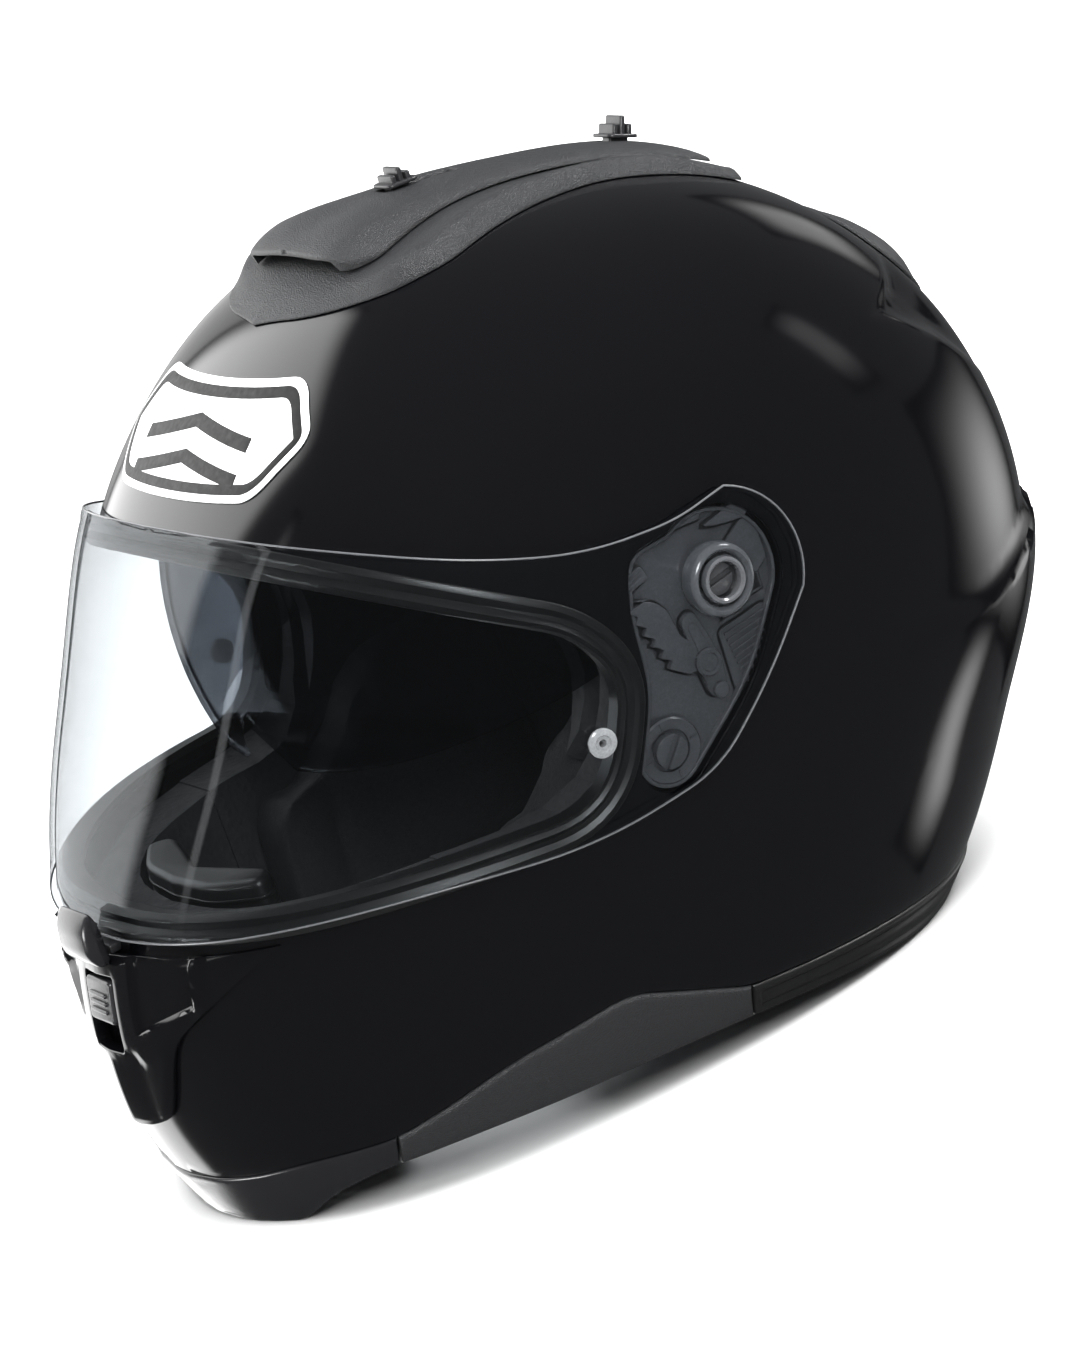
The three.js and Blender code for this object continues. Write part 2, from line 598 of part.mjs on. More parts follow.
// ------------------------------------------------------- rear vent and emblem
{
  const reach = [-230, -40];
  const cowl = mirrored([
    [0, 216], [36, 212, 12], [54, 200, 12], [48, 178, 14], [26, 170, 10], [0, 168],
  ]);
  const slots = [1, -1].map((side) => frontPrism([
    [side * 8, 176], [side * 32, 178], [side * 36, 186], [side * 8, 185],
  ], ...reach));
  let cover = skin(4.6, GAP).intersect(frontPrism(cowl, ...reach));
  slots.forEach((slot) => { cover = cover.subtract(slot); });
  add('rear_vent_cover', cover, finishes.grainBlack);

  const badge = mirrored([[0, 240.5], [44, 240.5, 6], [58, 227, 5], [44, 213.5, 6], [0, 213.5]]);
  add('forehead_emblem', skin(0.9, 0.3).intersect(frontPrism(badge, 40, 200)), finishes.white);
}

// ------------------------------------------------------------------ retention
// A strap is a band that follows a path of (x, z) points across the opening.
function band(path, thickness, f0, f1) {
  const edge = (sign) => path.map(([x, z], i) => {
    const [ax, az] = path[Math.max(i - 1, 0)];
    const [bx, bz] = path[Math.min(i + 1, path.length - 1)];
    const length = Math.hypot(bx - ax, bz - az);
    const half = (sign * thickness) / (2 * length);
    return [x - half * (bz - az), z + half * (bx - ax)];
  });
  return frontPrism([...edge(1), ...edge(-1).reverse()], f0, f1);
}

const strapRun = [[90.5, 78], [90.5, 36], [88, 26], [82, 19.5], [72, 15.5], [52, 12], [30.6, 10.2]];
{
  const flip = (path) => path.map(([x, z]) => [-x, z]);
  const rightRun = flip([...strapRun, [14.6, 10.1]]);
  add('strap_left', band(strapRun, 2, -1, 21), finishes.webbing);
  add('strap_right', band(rightRun, 2, -1, 21), finishes.webbing);
  for (const [tag, path] of [['left', strapRun], ['right', flip(strapRun)]]) {
    const sleeve = path.slice(4, 6);
    const [[ax, az], [bx, bz]] = sleeve;
    const middle = [[ax, az], [(ax + bx) / 2, (az + bz) / 2], [bx, bz]];
    const through = [[ax * 1.1, az + 1.26], ...middle, [bx * 0.9, bz - 0.9]];
    const pad = band(middle, 8, -7, 27).subtract(band(through, 3, -1.6, 21.6));
    add(`strap_pad_${tag}`, pad, finishes.fabric);
  }
  for (const [name, side] of [['strap_anchor_left', 1], ['strap_anchor_right', -1]]) {
    add(name, box(...onSide(side, 92, 93.6), 0, 20, 60, 82), finishes.steel);
  }
  const channel = box(-20, 24, -0.5, 20.5, 8.6, 11.8);
  add('buckle_body', box(2, 30, -3, 23, 6.4, 14).subtract(channel), finishes.grainBlack);
  add('buckle_tongue', box(-14, 22, 0.5, 19.5, 9, 11.2), finishes.steel);
  add('buckle_lever', box(3, 26.6, 1, 19, 14.4, 17), finishes.red);
}

export default helmet;
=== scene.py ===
"""The looks of a full-face motorcycle helmet, built round its CAD frame.

The helmet stands on its rim on z = 0 and looks along -Y; its left is +X.
Lengths in this script are millimetres and become metres as a mesh is made.
Side outlines are (f, z): f runs forward from the visor pivot, z up from the rim.
Plan outlines are (x, f) and front or back ones (x, z), for the half with x >= 0.
"""

import json
import math

import bpy
import numpy as np
from mathutils import Matrix, Vector
from mathutils.geometry import delaunay_2d_cdt
from mathutils.kdtree import KDTree

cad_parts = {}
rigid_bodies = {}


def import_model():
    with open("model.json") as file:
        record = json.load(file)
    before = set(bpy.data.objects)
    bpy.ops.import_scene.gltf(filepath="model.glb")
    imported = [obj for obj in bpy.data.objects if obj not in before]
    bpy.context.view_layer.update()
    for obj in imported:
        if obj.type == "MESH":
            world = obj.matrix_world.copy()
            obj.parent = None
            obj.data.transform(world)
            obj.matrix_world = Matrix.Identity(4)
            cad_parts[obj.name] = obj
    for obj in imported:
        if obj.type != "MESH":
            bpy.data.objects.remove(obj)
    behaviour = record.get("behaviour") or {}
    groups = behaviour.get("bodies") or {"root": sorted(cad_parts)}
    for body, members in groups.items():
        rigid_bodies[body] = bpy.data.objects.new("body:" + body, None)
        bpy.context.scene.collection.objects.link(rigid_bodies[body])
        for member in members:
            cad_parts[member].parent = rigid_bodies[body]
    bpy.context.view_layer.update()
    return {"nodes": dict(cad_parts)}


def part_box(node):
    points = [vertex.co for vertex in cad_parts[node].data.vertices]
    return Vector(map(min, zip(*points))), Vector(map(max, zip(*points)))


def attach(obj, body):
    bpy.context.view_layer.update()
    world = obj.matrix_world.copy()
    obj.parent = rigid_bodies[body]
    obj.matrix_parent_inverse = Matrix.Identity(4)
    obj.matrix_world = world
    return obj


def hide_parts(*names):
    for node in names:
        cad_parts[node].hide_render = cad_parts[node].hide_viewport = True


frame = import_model()

MM = 0.001
TAU = 2 * math.pi


def node_centre(name):
    low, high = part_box(name)
    return (Vector(low) + Vector(high)) / 2


PIVOT = node_centre("visor_hub_left") / MM
CENTRE_F = PIVOT.y
PIVOT_Z = PIVOT.z

# ---------------------------------------------------------------- dimensions
HALF_WIDTH = 125.0
PROFILE = np.array([161, 168, 167, 191, 208, 226, 242, 196, 136, 123, 114, 114, 112, 112, 129, 144], float)
BULGE = np.array([0.065, 0.09, 0.02, -0.03, 0.082, 0.074, 0.018, 0.06])
SHELL_WALL = 4.0
POD_DEPTH = 6.5
VISOR_OUT, VISOR_SIDE, VISOR_WALL = 6.6, 3.6, 2.2
LOWER_SCREW = (31.0, 109.0)
INSERT_PIN = (54.0, 124.0)


# ---------------------------------------------------------------- the form
def spline_at(controls, angle):
    n = len(controls)
    u = (np.asarray(angle) + math.pi) / TAU * n
    i = np.floor(u).astype(int)
    t = u - i
    c = [controls[(i + k) % n] for k in (-1, 0, 1, 2)]
    return ((1 - t) ** 3 * c[0] + (3 * t**3 - 6 * t**2 + 4) * c[1]
            + (-3 * t**3 + 3 * t**2 + 3 * t + 1) * c[2] + t**3 * c[3]) / 6


class Form:
    """A closed helmet-like surface, grown by out in its middle and side at its sides."""

    def __init__(self, profile=PROFILE, bulge=BULGE, half_width=HALF_WIDTH, out=0.0, side=0.0):
        self.profile, self.bulge = profile, bulge
        self.half_width = half_width
        self.out, self.side = out, side

    def radius(self, psi):
        return spline_at(self.profile, psi) + self.out

    def point(self, psi, tilt):
        bow = 1 + spline_at(self.bulge, psi) * np.sin(2 * tilt) ** 2
        r = self.radius(psi) * bow * np.cos(tilt)
        x = (self.half_width + self.side) * bow * np.sin(tilt)
        return np.stack([x, CENTRE_F - r * np.cos(psi), PIVOT_Z + r * np.sin(psi)], -1)

    def normal(self, psi, tilt):
        e = 2e-3
        t = np.clip(tilt, None, math.pi / 2 - 2 * e)
        round_way = self.point(psi + e, t) - self.point(psi - e, t)
        across = self.point(psi, t + e) - self.point(psi, t - e)
        n = np.cross(across, round_way)
        n /= np.linalg.norm(n, axis=-1, keepdims=True)
        n[tilt > math.pi / 2 - 4 * e] = (1, 0, 0)
        return n

    def tilt_for(self, psi, value, measure):
        """The tilt at which measure(psi, tilt) falls to value."""
        low, high = np.zeros_like(psi), np.full_like(psi, math.pi / 2)
        for _ in range(26):
            mid = (low + high) / 2
            far = measure(psi, mid) > value
            low, high = np.where(far, mid, low), np.where(far, high, mid)
        return (low + high) / 2

    def reach(self, psi, tilt):
        bow = 1 + spline_at(self.bulge, psi) * np.sin(2 * tilt) ** 2
        return self.radius(psi) * bow * np.cos(tilt)

    def locate(self, view, points):
        """psi and tilt of the surface over points of a side, plan, front or back view."""
        p = np.asarray(points, float)
        if view == "side":
            f, z = p[:, 0], p[:, 1] - PIVOT_Z
            psi = np.arctan2(z, f)
            return psi, self.tilt_for(psi, np.hypot(f, z), self.reach)
        x = np.abs(p[:, 0])
        psi = np.full(len(p), {"plan": 1.4, "front": 0.0, "back": math.pi - 0.3}[view])
        for _ in range(20):
            tilt = self.tilt_for(psi, -x, lambda a, t: -self.point(a, t)[..., 0])
            r = self.reach(psi, tilt)
            if view == "plan":
                new = np.arccos(np.clip(p[:, 1] / r, -0.999, 0.999))
            else:
                rise = np.arcsin(np.clip((p[:, 1] - PIVOT_Z) / r, -0.999, 0.999))
                new = rise if view == "front" else math.pi - rise
            psi = psi + 0.7 * (new - psi)
        return psi, tilt

    def chart(self, psi, tilt):
        s = self.radius(psi) * (1 - 2 * tilt / math.pi)
        return np.stack([s * np.cos(psi), s * np.sin(psi)], -1)

    def unchart(self, uv):
        psi = np.arctan2(uv[:, 1], uv[:, 0])
        s = np.hypot(uv[:, 0], uv[:, 1])
        return psi, (1 - s / self.radius(psi)) * math.pi / 2

    def views(self, psi, tilt):
        p = self.point(psi, tilt)
        f = CENTRE_F - p[:, 1]
        return {"side": np.stack([f, p[:, 2]], -1), "plan": np.stack([p[:, 0], f], -1),
                "front": p[:, [0, 2]], "back": p[:, [0, 2]]}


SHELL_FORM = Form()
VISOR_FORM = Form(out=VISOR_OUT, side=VISOR_SIDE)


# ---------------------------------------------------------------- outlines
def arc(centre, radius, start, end, steps):
    angles = np.radians(np.linspace(start, end, steps + 1))
    return [(centre[0] + radius * math.cos(a), centre[1] + radius * math.sin(a)) for a in angles]


def rounded(corners, closed=True, steps=8):
    """Corner points (u, v) or (u, v, radius), with each corner rounded off."""
    n = len(corners)
    out = []
    for i, c in enumerate(corners):
        u, v, r = (*c, 0.0)[:3]
        if not closed and i in (0, n - 1):
            out.append((u, v))
            continue
        p, q = np.array(corners[i - 1][:2]), np.array(corners[(i + 1) % n][:2])
        here = np.array([u, v], float)
        before, after = np.linalg.norm(p - here), np.linalg.norm(q - here)
        cut = min(r, before / 2.01, after / 2.01)
        if cut <= 0:
            out.append((u, v))
            continue
        a, b = here + (p - here) * cut / before, here + (q - here) * cut / after
        for t in np.linspace(0, 1, steps + 1):
            out.append(tuple((1 - t) ** 2 * a + 2 * t * (1 - t) * here + t * t * b))
    return np.array(out, float)


def box_line(a0, a1, b0, b1, radius, steps=8):
    """The outline of a rectangle with rounded corners."""
    return rounded([(a0, b0, radius), (a1, b0, radius), (a1, b1, radius), (a0, b1, radius)], steps=steps)


def resample(line, step, closed=True):
    """Points along a polyline about step apart, keeping its sharp corners."""
    pts = np.vstack([line, line[:1]]) if closed else line
    out = []
    for a, b in zip(pts[:-1], pts[1:]):
        n = max(1, int(round(np.linalg.norm(b - a) / step)))
        out.extend(a + (b - a) * k / n for k in range(n))
    if not closed:
        out.append(pts[-1])
    return np.array(out)


def thin_out(line, least):
    keep = [line[0]]
    for p in line[1:]:
        if np.linalg.norm(p - keep[-1]) >= least:
            keep.append(p)
    return np.array(keep)


def inset(line, d, closed=True):
    """The polyline moved d to its inside (its left side when it runs anticlockwise)."""
    if closed:
        before, after = np.roll(line, 1, 0), np.roll(line, -1, 0)
    else:
        before = np.vstack([2 * line[0] - line[1], line[:-1]])
        after = np.vstack([line[1:], 2 * line[-1] - line[-2]])
    a = line - before
    b = after - line
    a /= np.linalg.norm(a, axis=1, keepdims=True) + 1e-12
    b /= np.linalg.norm(b, axis=1, keepdims=True) + 1e-12
    miter = np.stack([-(a + b)[:, 1], (a + b)[:, 0]], -1)
    miter /= np.maximum(1 + (a * b).sum(1), 0.5)[:, None]
    return line + miter * d


def area_of(line):
    x, y = line[:, 0], line[:, 1]
    return 0.5 * float(np.sum(x * np.roll(y, -1) - y * np.roll(x, -1)))


class Outline:
    """A closed outline in one view. Half outlines (plan, front, back) are mirrored."""

    REACH = {
        "side": lambda places: True, "plan": lambda places: places["side"][:, 1] > 180,
        "front": lambda places: places["side"][:, 0] > 0, "back": lambda places: places["side"][:, 0] < 0,
    }

    def __init__(self, view, corners, step=2.0):
        line = rounded(corners)
        if view != "side":
            half = rounded(corners, closed=False)
            mirror = half[::-1][1:-1] * (-1, 1) if abs(half[0][0]) < 1e-6 else half[::-1] * (-1, 1)
            line = np.vstack([half, mirror])
        line = thin_out(resample(line, step), 0.3)
        if area_of(line) < 0:
            line = line[::-1]
        self.view, self.line = view, line

    def grown(self, d):
        other = object.__new__(Outline)
        other.view, other.line = self.view, inset(self.line, -d)
        return other

    def depth(self, places):
        """Distance inside the outline, negative outside."""
        p = places[self.view]
        a, b = self.line, np.roll(self.line, -1, 0)
        ab = b - a
        best = np.empty(len(p))
        inside = np.zeros(len(p), bool)
        for k in range(0, len(p), 2000):
            q = p[k:k + 2000, None, :]
            t = np.clip(((q - a) * ab).sum(-1) / ((ab**2).sum(-1) + 1e-12), 0, 1)
            best[k:k + 2000] = np.sqrt((((q - a) - t[..., None] * ab) ** 2).sum(-1).min(1))
            crosses = (a[:, 1] > q[..., 1]) != (b[:, 1] > q[..., 1])
            at = a[:, 0] + (q[..., 1] - a[:, 1]) / np.where(ab[:, 1] == 0, 1e-12, ab[:, 1]) * ab[:, 0]
            inside[k:k + 2000] = (crosses & (q[..., 0] < at)).sum(1) % 2 == 1
        reached = self.REACH[self.view](places)
        return np.where(inside & reached, best, -best)

    def runs(self, form, d):
        """The outline, moved d inwards, as chart polylines on the left half, and if each is open."""
        line = inset(self.line, d) if d else self.line
        closed = np.vstack([line, line[:1]])
        if self.view == "side":
            f, z = closed[:, 0], closed[:, 1] - PIVOT_Z
            room = form.radius(np.arctan2(z, f)) - np.hypot(f, z)
        else:
            room = closed[:, 0]
        runs, run = [], []
        for i in range(len(closed) - 1):
            if room[i] >= 0:
                run.append(closed[i])
            if (room[i] >= 0) != (room[i + 1] >= 0):
                t = room[i] / (room[i] - room[i + 1])
                edge = closed[i] + (closed[i + 1] - closed[i]) * t
                if room[i] >= 0:
                    run.append(edge)
                    runs.append((run, True))
                    run = []
                else:
                    run = [edge]
        if run:
            if runs and room[0] >= 0:
                runs[0] = (run + runs[0][0], True)
            else:
                runs.append((run, False))
        out = []
        for points, opens in runs:
            psi, tilt = form.locate(self.view, np.array(points))
            if opens:
                tilt[0] = tilt[-1] = 0
            out.append((form.chart(psi, tilt), opens))
        return out


# ---------------------------------------------------------------- panels
ARC_INSETS = (0.0, 0.134, 0.5, 1.0)      # a quarter round, as parts of its radius


def quarter_round(depth, radius):
    """How far a rounded edge falls below the face, depth inside its edge."""
    d = np.clip(depth, 0, radius)
    return radius - np.sqrt(np.maximum(radius**2 - (radius - d) ** 2, 0))


FILL = {}


def fill_points(form, spacing):
    """Points spread evenly over the left half of a form, with their places in the views."""
    key = (id(form), spacing)
    if key not in FILL:
        out = []
        steps = int(math.pi / 2 * 135 / spacing)
        for j in range(steps):
            tilt = math.pi / 2 * (j + 0.5) / steps
            n = max(5, int(TAU * 155 * math.cos(tilt) / spacing))
            psi = (np.arange(n) + 0.5 * (j % 2)) / n * TAU - math.pi
            out.append(np.stack([psi, np.full(n, tilt)], -1))
        pts = np.vstack(out)
        FILL[key] = (pts, form.views(pts[:, 0], pts[:, 1]))
    return FILL[key]


def inside_of(outlines, places):
    """Depth inside every wanted outline and outside every unwanted one."""
    return np.min([sign * o.depth(places) for o, sign in outlines], axis=0)


def in_box(outlines, places):
    keep = np.ones(len(places["side"]), bool)
    for outline, sign in outlines:
        if sign > 0:
            low, high = outline.line.min(0), outline.line.max(0)
            p = places[outline.view]
            keep &= ((p >= low) & (p <= high)).all(1)
    return keep


def picked(places, keep):
    return {view: p[keep] for view, p in places.items()}


LINE_GAP = 1.2                           # least distance of a fill point from an edge line


def chart_mesh(form, outlines, rings, spacing, line_gap=LINE_GAP):
    """Triangulates the left half of a form inside the outlines, with edges along the rings."""
    lines = []
    for outline, insets in rings:
        for d in insets:
            lines.extend(outline.runs(form, d))
    verts, edges, stops = [], [], []
    for line, opens in lines:
        line = thin_out(line, 0.25) if len(line) > 3 else line
        start = len(verts)
        verts.extend(map(tuple, line))
        edges.extend((start + i, start + i + 1) for i in range(len(line) - 1))
        if opens:
            stops.extend([math.atan2(line[0][1], line[0][0]), math.atan2(line[-1][1], line[-1][0])])
        elif opens is False:
            edges.append((len(verts) - 1, start))
    ring = np.linspace(-math.pi, math.pi, int(TAU * 155 / min(spacing, 3.0)), endpoint=False)
    if stops:
        near = np.abs(ring[:, None] - np.array(stops)[None]).min(1)
        ring = np.sort(np.concatenate([ring[near > 0.35 * TAU / len(ring)], stops]))
    start = len(verts)
    rim = form.chart(ring, np.zeros_like(ring))
    verts.extend(map(tuple, rim))
    edges.extend((start + i, start + (i + 1) % len(rim)) for i in range(len(rim)))
    tree = KDTree(len(verts))
    for i, v in enumerate(verts):
        tree.insert((v[0], v[1], 0), i)
    tree.balance()
    pts, places = fill_points(form, spacing)
    keep = in_box(outlines, places)
    pts = pts[keep]
    pts = pts[inside_of(outlines, picked(places, keep)) > 0.3]
    if len(pts):
        uv = form.chart(pts[:, 0], pts[:, 1])
        verts.extend((u, v) for u, v in uv if tree.find((u, v, 0))[2] > line_gap)
    out = delaunay_2d_cdt([Vector(v) for v in verts], edges, [], 0, 1e-5, False)
    uv = np.array([(v.x, v.y) for v in out[0]])
    faces = np.array([f for f in out[2] if len(f) == 3])
    psi, tilt = form.unchart(uv[faces].mean(1))
    tilt = np.maximum(tilt, 0)
    places = form.views(psi, tilt)
    keep = in_box(outlines, places)
    keep[keep] = inside_of(outlines, picked(places, keep)) > 0
    faces = faces[keep & (tilt > 0)]
    used = np.unique(faces)
    index = np.full(len(uv), -1)
    index[used] = np.arange(len(used))
    uv, faces = uv[used], index[faces]
    a, b, c = (uv[faces[:, k]] for k in range(3))
    turn = (b - a)[:, 0] * (c - a)[:, 1] - (b - a)[:, 1] * (c - a)[:, 0]
    faces[turn < 0] = faces[turn < 0][:, ::-1]
    psi, tilt = form.unchart(uv)
    tilt = np.where(tilt < 1e-4, 0, tilt)
    return psi, tilt, faces


def mesh_object(name, points, faces, material, smooth=True, sharp=None):
    mesh = bpy.data.meshes.new(name)
    mesh.from_pydata((np.asarray(points) * MM).tolist(), [], [list(map(int, f)) for f in faces])
    mesh.validate()
    if smooth:
        mesh.polygons.foreach_set("use_smooth", [True] * len(mesh.polygons))
        if sharp is not None:
            mesh.set_sharp_from_angle(angle=math.radians(sharp))
    piece = bpy.data.objects.new(name, mesh)
    bpy.context.scene.collection.objects.link(piece)
    if material is not None:
        mesh.materials.append(material)
    return piece


def boundary_edges(faces):
    directed = np.concatenate([faces[:, [0, 1]], faces[:, [1, 2]], faces[:, [2, 0]]])
    keys = {(int(a), int(b)) for a, b in directed}
    return [e for e in keys if (e[1], e[0]) not in keys]


def body_between(upper, lower, tilt, faces, both_sides=True):
    """A closed body between two skins of a left-half mesh, mirrored to the right if asked."""
    on_middle = tilt == 0
    upper[on_middle, 0] = lower[on_middle, 0] = 0
    if both_sides:
        n = len(tilt)
        other = np.where(on_middle, np.arange(n), n + np.cumsum(~on_middle) - 1)
        upper, lower = (np.vstack([skin, skin[~on_middle] * (-1, 1, 1)]) for skin in (upper, lower))
        faces = np.vstack([faces, other[faces][:, ::-1]])
    m = len(upper)
    walls = [(b, a, a + m, b + m) for a, b in boundary_edges(faces)]
    return np.vstack([upper, lower]), [tuple(f) for f in faces] + [tuple(f) for f in faces[:, ::-1] + m] + walls


def join_parts(parts):
    points, faces, start = [], [], 0
    for p, f in parts:
        points.append(np.asarray(p))
        faces.extend(tuple(int(i) + start for i in face) for face in f)
        start += len(p)
    return np.vstack(points), faces


def panel(form, outlines, top, bottom, edge=0.6, spacing=4.0, both_sides=True, under=0.0, extra=()):
    """A rounded-edge slab. outlines: (outline, +1 to keep its inside or -1 its outside)."""
    insets = tuple(edge * k for k in ARC_INSETS) if edge else (0.0,)
    rings = [(o, tuple(sign * d for d in insets)) for o, sign in outlines]
    line_gap = min(LINE_GAP, spacing * 0.4)
    psi, tilt, faces = chart_mesh(form, outlines, rings + list(extra), spacing, line_gap)
    places = form.views(psi, tilt)
    depth = np.maximum(inside_of(outlines, places), 0)
    high, low = (np.broadcast_to(h(places) if callable(h) else float(h), depth.shape) for h in (top, bottom))
    high = high - (quarter_round(depth, edge) if edge else 0)
    low = low + (quarter_round(depth, under) if under else 0)
    base, normal = form.point(psi, tilt), form.normal(psi, tilt)
    return body_between(base + normal * high[:, None], base + normal * low[:, None], tilt, faces, both_sides)


def piece_of(name, body, replaces, material, parts, sharp=40):
    points, faces = join_parts(parts)
    piece = mesh_object(name, points, faces, material, sharp=sharp)
    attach(piece, body)
    if replaces:
        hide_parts(*replaces)
    return piece


# ---------------------------------------------------------------- materials
def new_material(name):
    material = bpy.data.materials.new(name)
    material.use_nodes = True
    nodes = material.node_tree.nodes
    return material, nodes, nodes["Principled BSDF"]


def put(value, socket):
    """Links a socket from an output, or sets its value."""
    if isinstance(value, bpy.types.NodeSocket):
        socket.id_data.links.new(value, socket)
    else:
        socket.default_value = value


def add_node(nodes, kind, *inputs, **values):
    """A node, with its first inputs in order and others by name; other names are its settings."""
    node = nodes.new(kind)
    for key, value in (*enumerate(inputs), *values.items()):
        if isinstance(key, int) or key in node.inputs:
            put(value, node.inputs[key])
        else:
            setattr(node, key, value)
    return node


def math_node(nodes, operation, a, b):
    return add_node(nodes, "ShaderNodeMath", a, b, operation=operation).outputs[0]


def colour_ramp(nodes, fac, dark, light):
    ramp = add_node(nodes, "ShaderNodeValToRGB", Fac=fac)
    for stop, colour in zip(ramp.color_ramp.elements, (dark, light)):
        stop.color = (*colour, 1)
    return ramp.outputs["Color"]


def set_shader(shader, **values):
    for key, value in values.items():
        put(value, shader.inputs[key.replace("_", " ")])


def bump(nodes, height, strength, distance):
    node = add_node(nodes, "ShaderNodeBump", Height=height, Strength=strength, Distance=distance)
    return node.outputs["Normal"]


def gloss_lacquer(name, colour):
    """Deep gloss lacquer with a faint orange peel."""
    material, nodes, shader = new_material(name)
    where = add_node(nodes, "ShaderNodeTexCoord").outputs["Object"]
    peel = add_node(nodes, "ShaderNodeTexNoise", Vector=where, Scale=260.0, Detail=1.0).outputs["Fac"]
    set_shader(shader, Base_Color=(*colour, 1), Roughness=0.11, Specular_IOR_Level=0.42,
               Normal=bump(nodes, peel, 0.008, 0.0003))
    return material


def moulded(name, colour, roughness, grain, depth, spread=0.25, metallic=0.0):
    """Grained moulded plastic: fine leathery cells, with lighter worn high spots."""
    material, nodes, shader = new_material(name)
    where = add_node(nodes, "ShaderNodeTexCoord").outputs["Object"]
    cells = add_node(nodes, "ShaderNodeTexVoronoi", Vector=where, Scale=grain).outputs["Distance"]
    cloud = add_node(nodes, "ShaderNodeTexNoise", Vector=where, Scale=grain * 0.35, Detail=3.0).outputs["Fac"]
    mix = math_node(nodes, "MULTIPLY", cells, cloud)
    tone = add_node(nodes, "ShaderNodeMapRange", Value=cloud, **{
        "To Min": roughness * (1 - spread), "To Max": min(1.0, roughness * (1 + spread))})
    worn = colour_ramp(nodes, mix, [c * 0.8 for c in colour], [min(1, c * 1.35) for c in colour])
    set_shader(shader, Base_Color=worn, Roughness=tone.outputs["Result"], Metallic=metallic,
               Normal=bump(nodes, mix, depth, 0.0006))
    return material


def clear_plastic(name, tint):
    """Thin clear sheet: see-through at the face, darker and mirror-like at the edge."""
    material, nodes, shader = new_material(name)
    set_shader(shader, Base_Color=(1, 1, 1, 1), Metallic=1.0, Roughness=0.03)
    slant = add_node(nodes, "ShaderNodeLayerWeight", Blend=0.3).outputs["Facing"]
    tone = colour_ramp(nodes, slant, tint, [0.55 * c for c in tint])
    through = add_node(nodes, "ShaderNodeBsdfTransparent", Color=tone).outputs["BSDF"]
    shine = add_node(nodes, "ShaderNodeFresnel", IOR=1.5).outputs["Fac"]
    behind = add_node(nodes, "ShaderNodeNewGeometry").outputs["Backfacing"]
    outer = math_node(nodes, "MULTIPLY", shine, math_node(nodes, "SUBTRACT", 1.0, behind))
    mix = add_node(nodes, "ShaderNodeMixShader", outer, through, shader.outputs["BSDF"])
    put(mix.outputs["Shader"], nodes["Material Output"].inputs["Surface"])
    return material


LACQUER = gloss_lacquer("shell_lacquer", (0.002, 0.002, 0.0025))
GRAINED = moulded("grained_plastic", (0.014, 0.0145, 0.0155), 0.42, 2400, 0.9)
SATIN = moulded("satin_plastic", (0.012, 0.012, 0.013), 0.32, 1500, 0.1)
RUBBER = moulded("rubber", (0.005, 0.005, 0.005), 0.38, 1500, 0.0, spread=0.05)
MECHANISM = moulded("mechanism_plastic", (0.034, 0.035, 0.038), 0.24, 1500, 0.02, spread=0.05)
FOAM = moulded("energy_foam", (0.015, 0.015, 0.016), 0.8, 380, 0.8)
FABRIC = moulded("lining_fabric", (0.006, 0.006, 0.0065), 0.95, 1800, 0.6)
WEBBING = moulded("webbing", (0.01, 0.01, 0.011), 0.85, 1400, 0.6)
STEEL = moulded("plated_steel", (0.5, 0.5, 0.52), 0.3, 500, 0.03, metallic=1.0)
RED = moulded("buckle_red", (0.35, 0.01, 0.01), 0.4, 900, 0.1)
CLEAR = clear_plastic("clear_polycarbonate", (0.9, 0.915, 0.925))
SMOKE = clear_plastic("smoke_polycarbonate", (0.52, 0.54, 0.57))
WHITE = moulded("badge_white", (0.78, 0.78, 0.78), 0.25, 600, 0.02)
# Flat black for the rings of painted shade round the raised shapes of the pivot plate.
PAINTED_SHADE_BLACK = moulded("painted_shade_black", (0.001, 0.001, 0.001), 0.8, 1500, 0.02)
BADGE_BLACK = moulded("badge_black", (0.002, 0.002, 0.002), 0.6, 1500, 0.02)
MECHANISM_DARK = moulded("mechanism_dark", (0.008, 0.008, 0.009), 0.35, 1100, 0.1)
TRIM_GLOSS = moulded("trim_plastic", (0.007, 0.007, 0.008), 0.22, 1500, 0.04)
# The hub rings' lighter grey is a painted highlight, standing in for the bright sheen of the clear rings.
HUB_RING_PAINTED_HIGHLIGHT = moulded("hub_ring_plastic", (0.05, 0.052, 0.056), 0.13, 1500, 0.02, spread=0.05)
# Lighter grey for a thin strip along the visor's edge: a painted highlight for the light lines the edge
# catches.
VISOR_EDGE_PAINTED_HIGHLIGHT = moulded("visor_edge_painted_highlight", (0.06, 0.062, 0.066), 0.25, 1500, 0.02, spread=0.05)
# The insert pins' lighter grey is a painted highlight for the bright look of clear plastic.
PIN_PAINTED_HIGHLIGHT = moulded("clear_pin_painted_highlight", (0.12, 0.125, 0.13), 0.15, 1500, 0.02, spread=0.05)

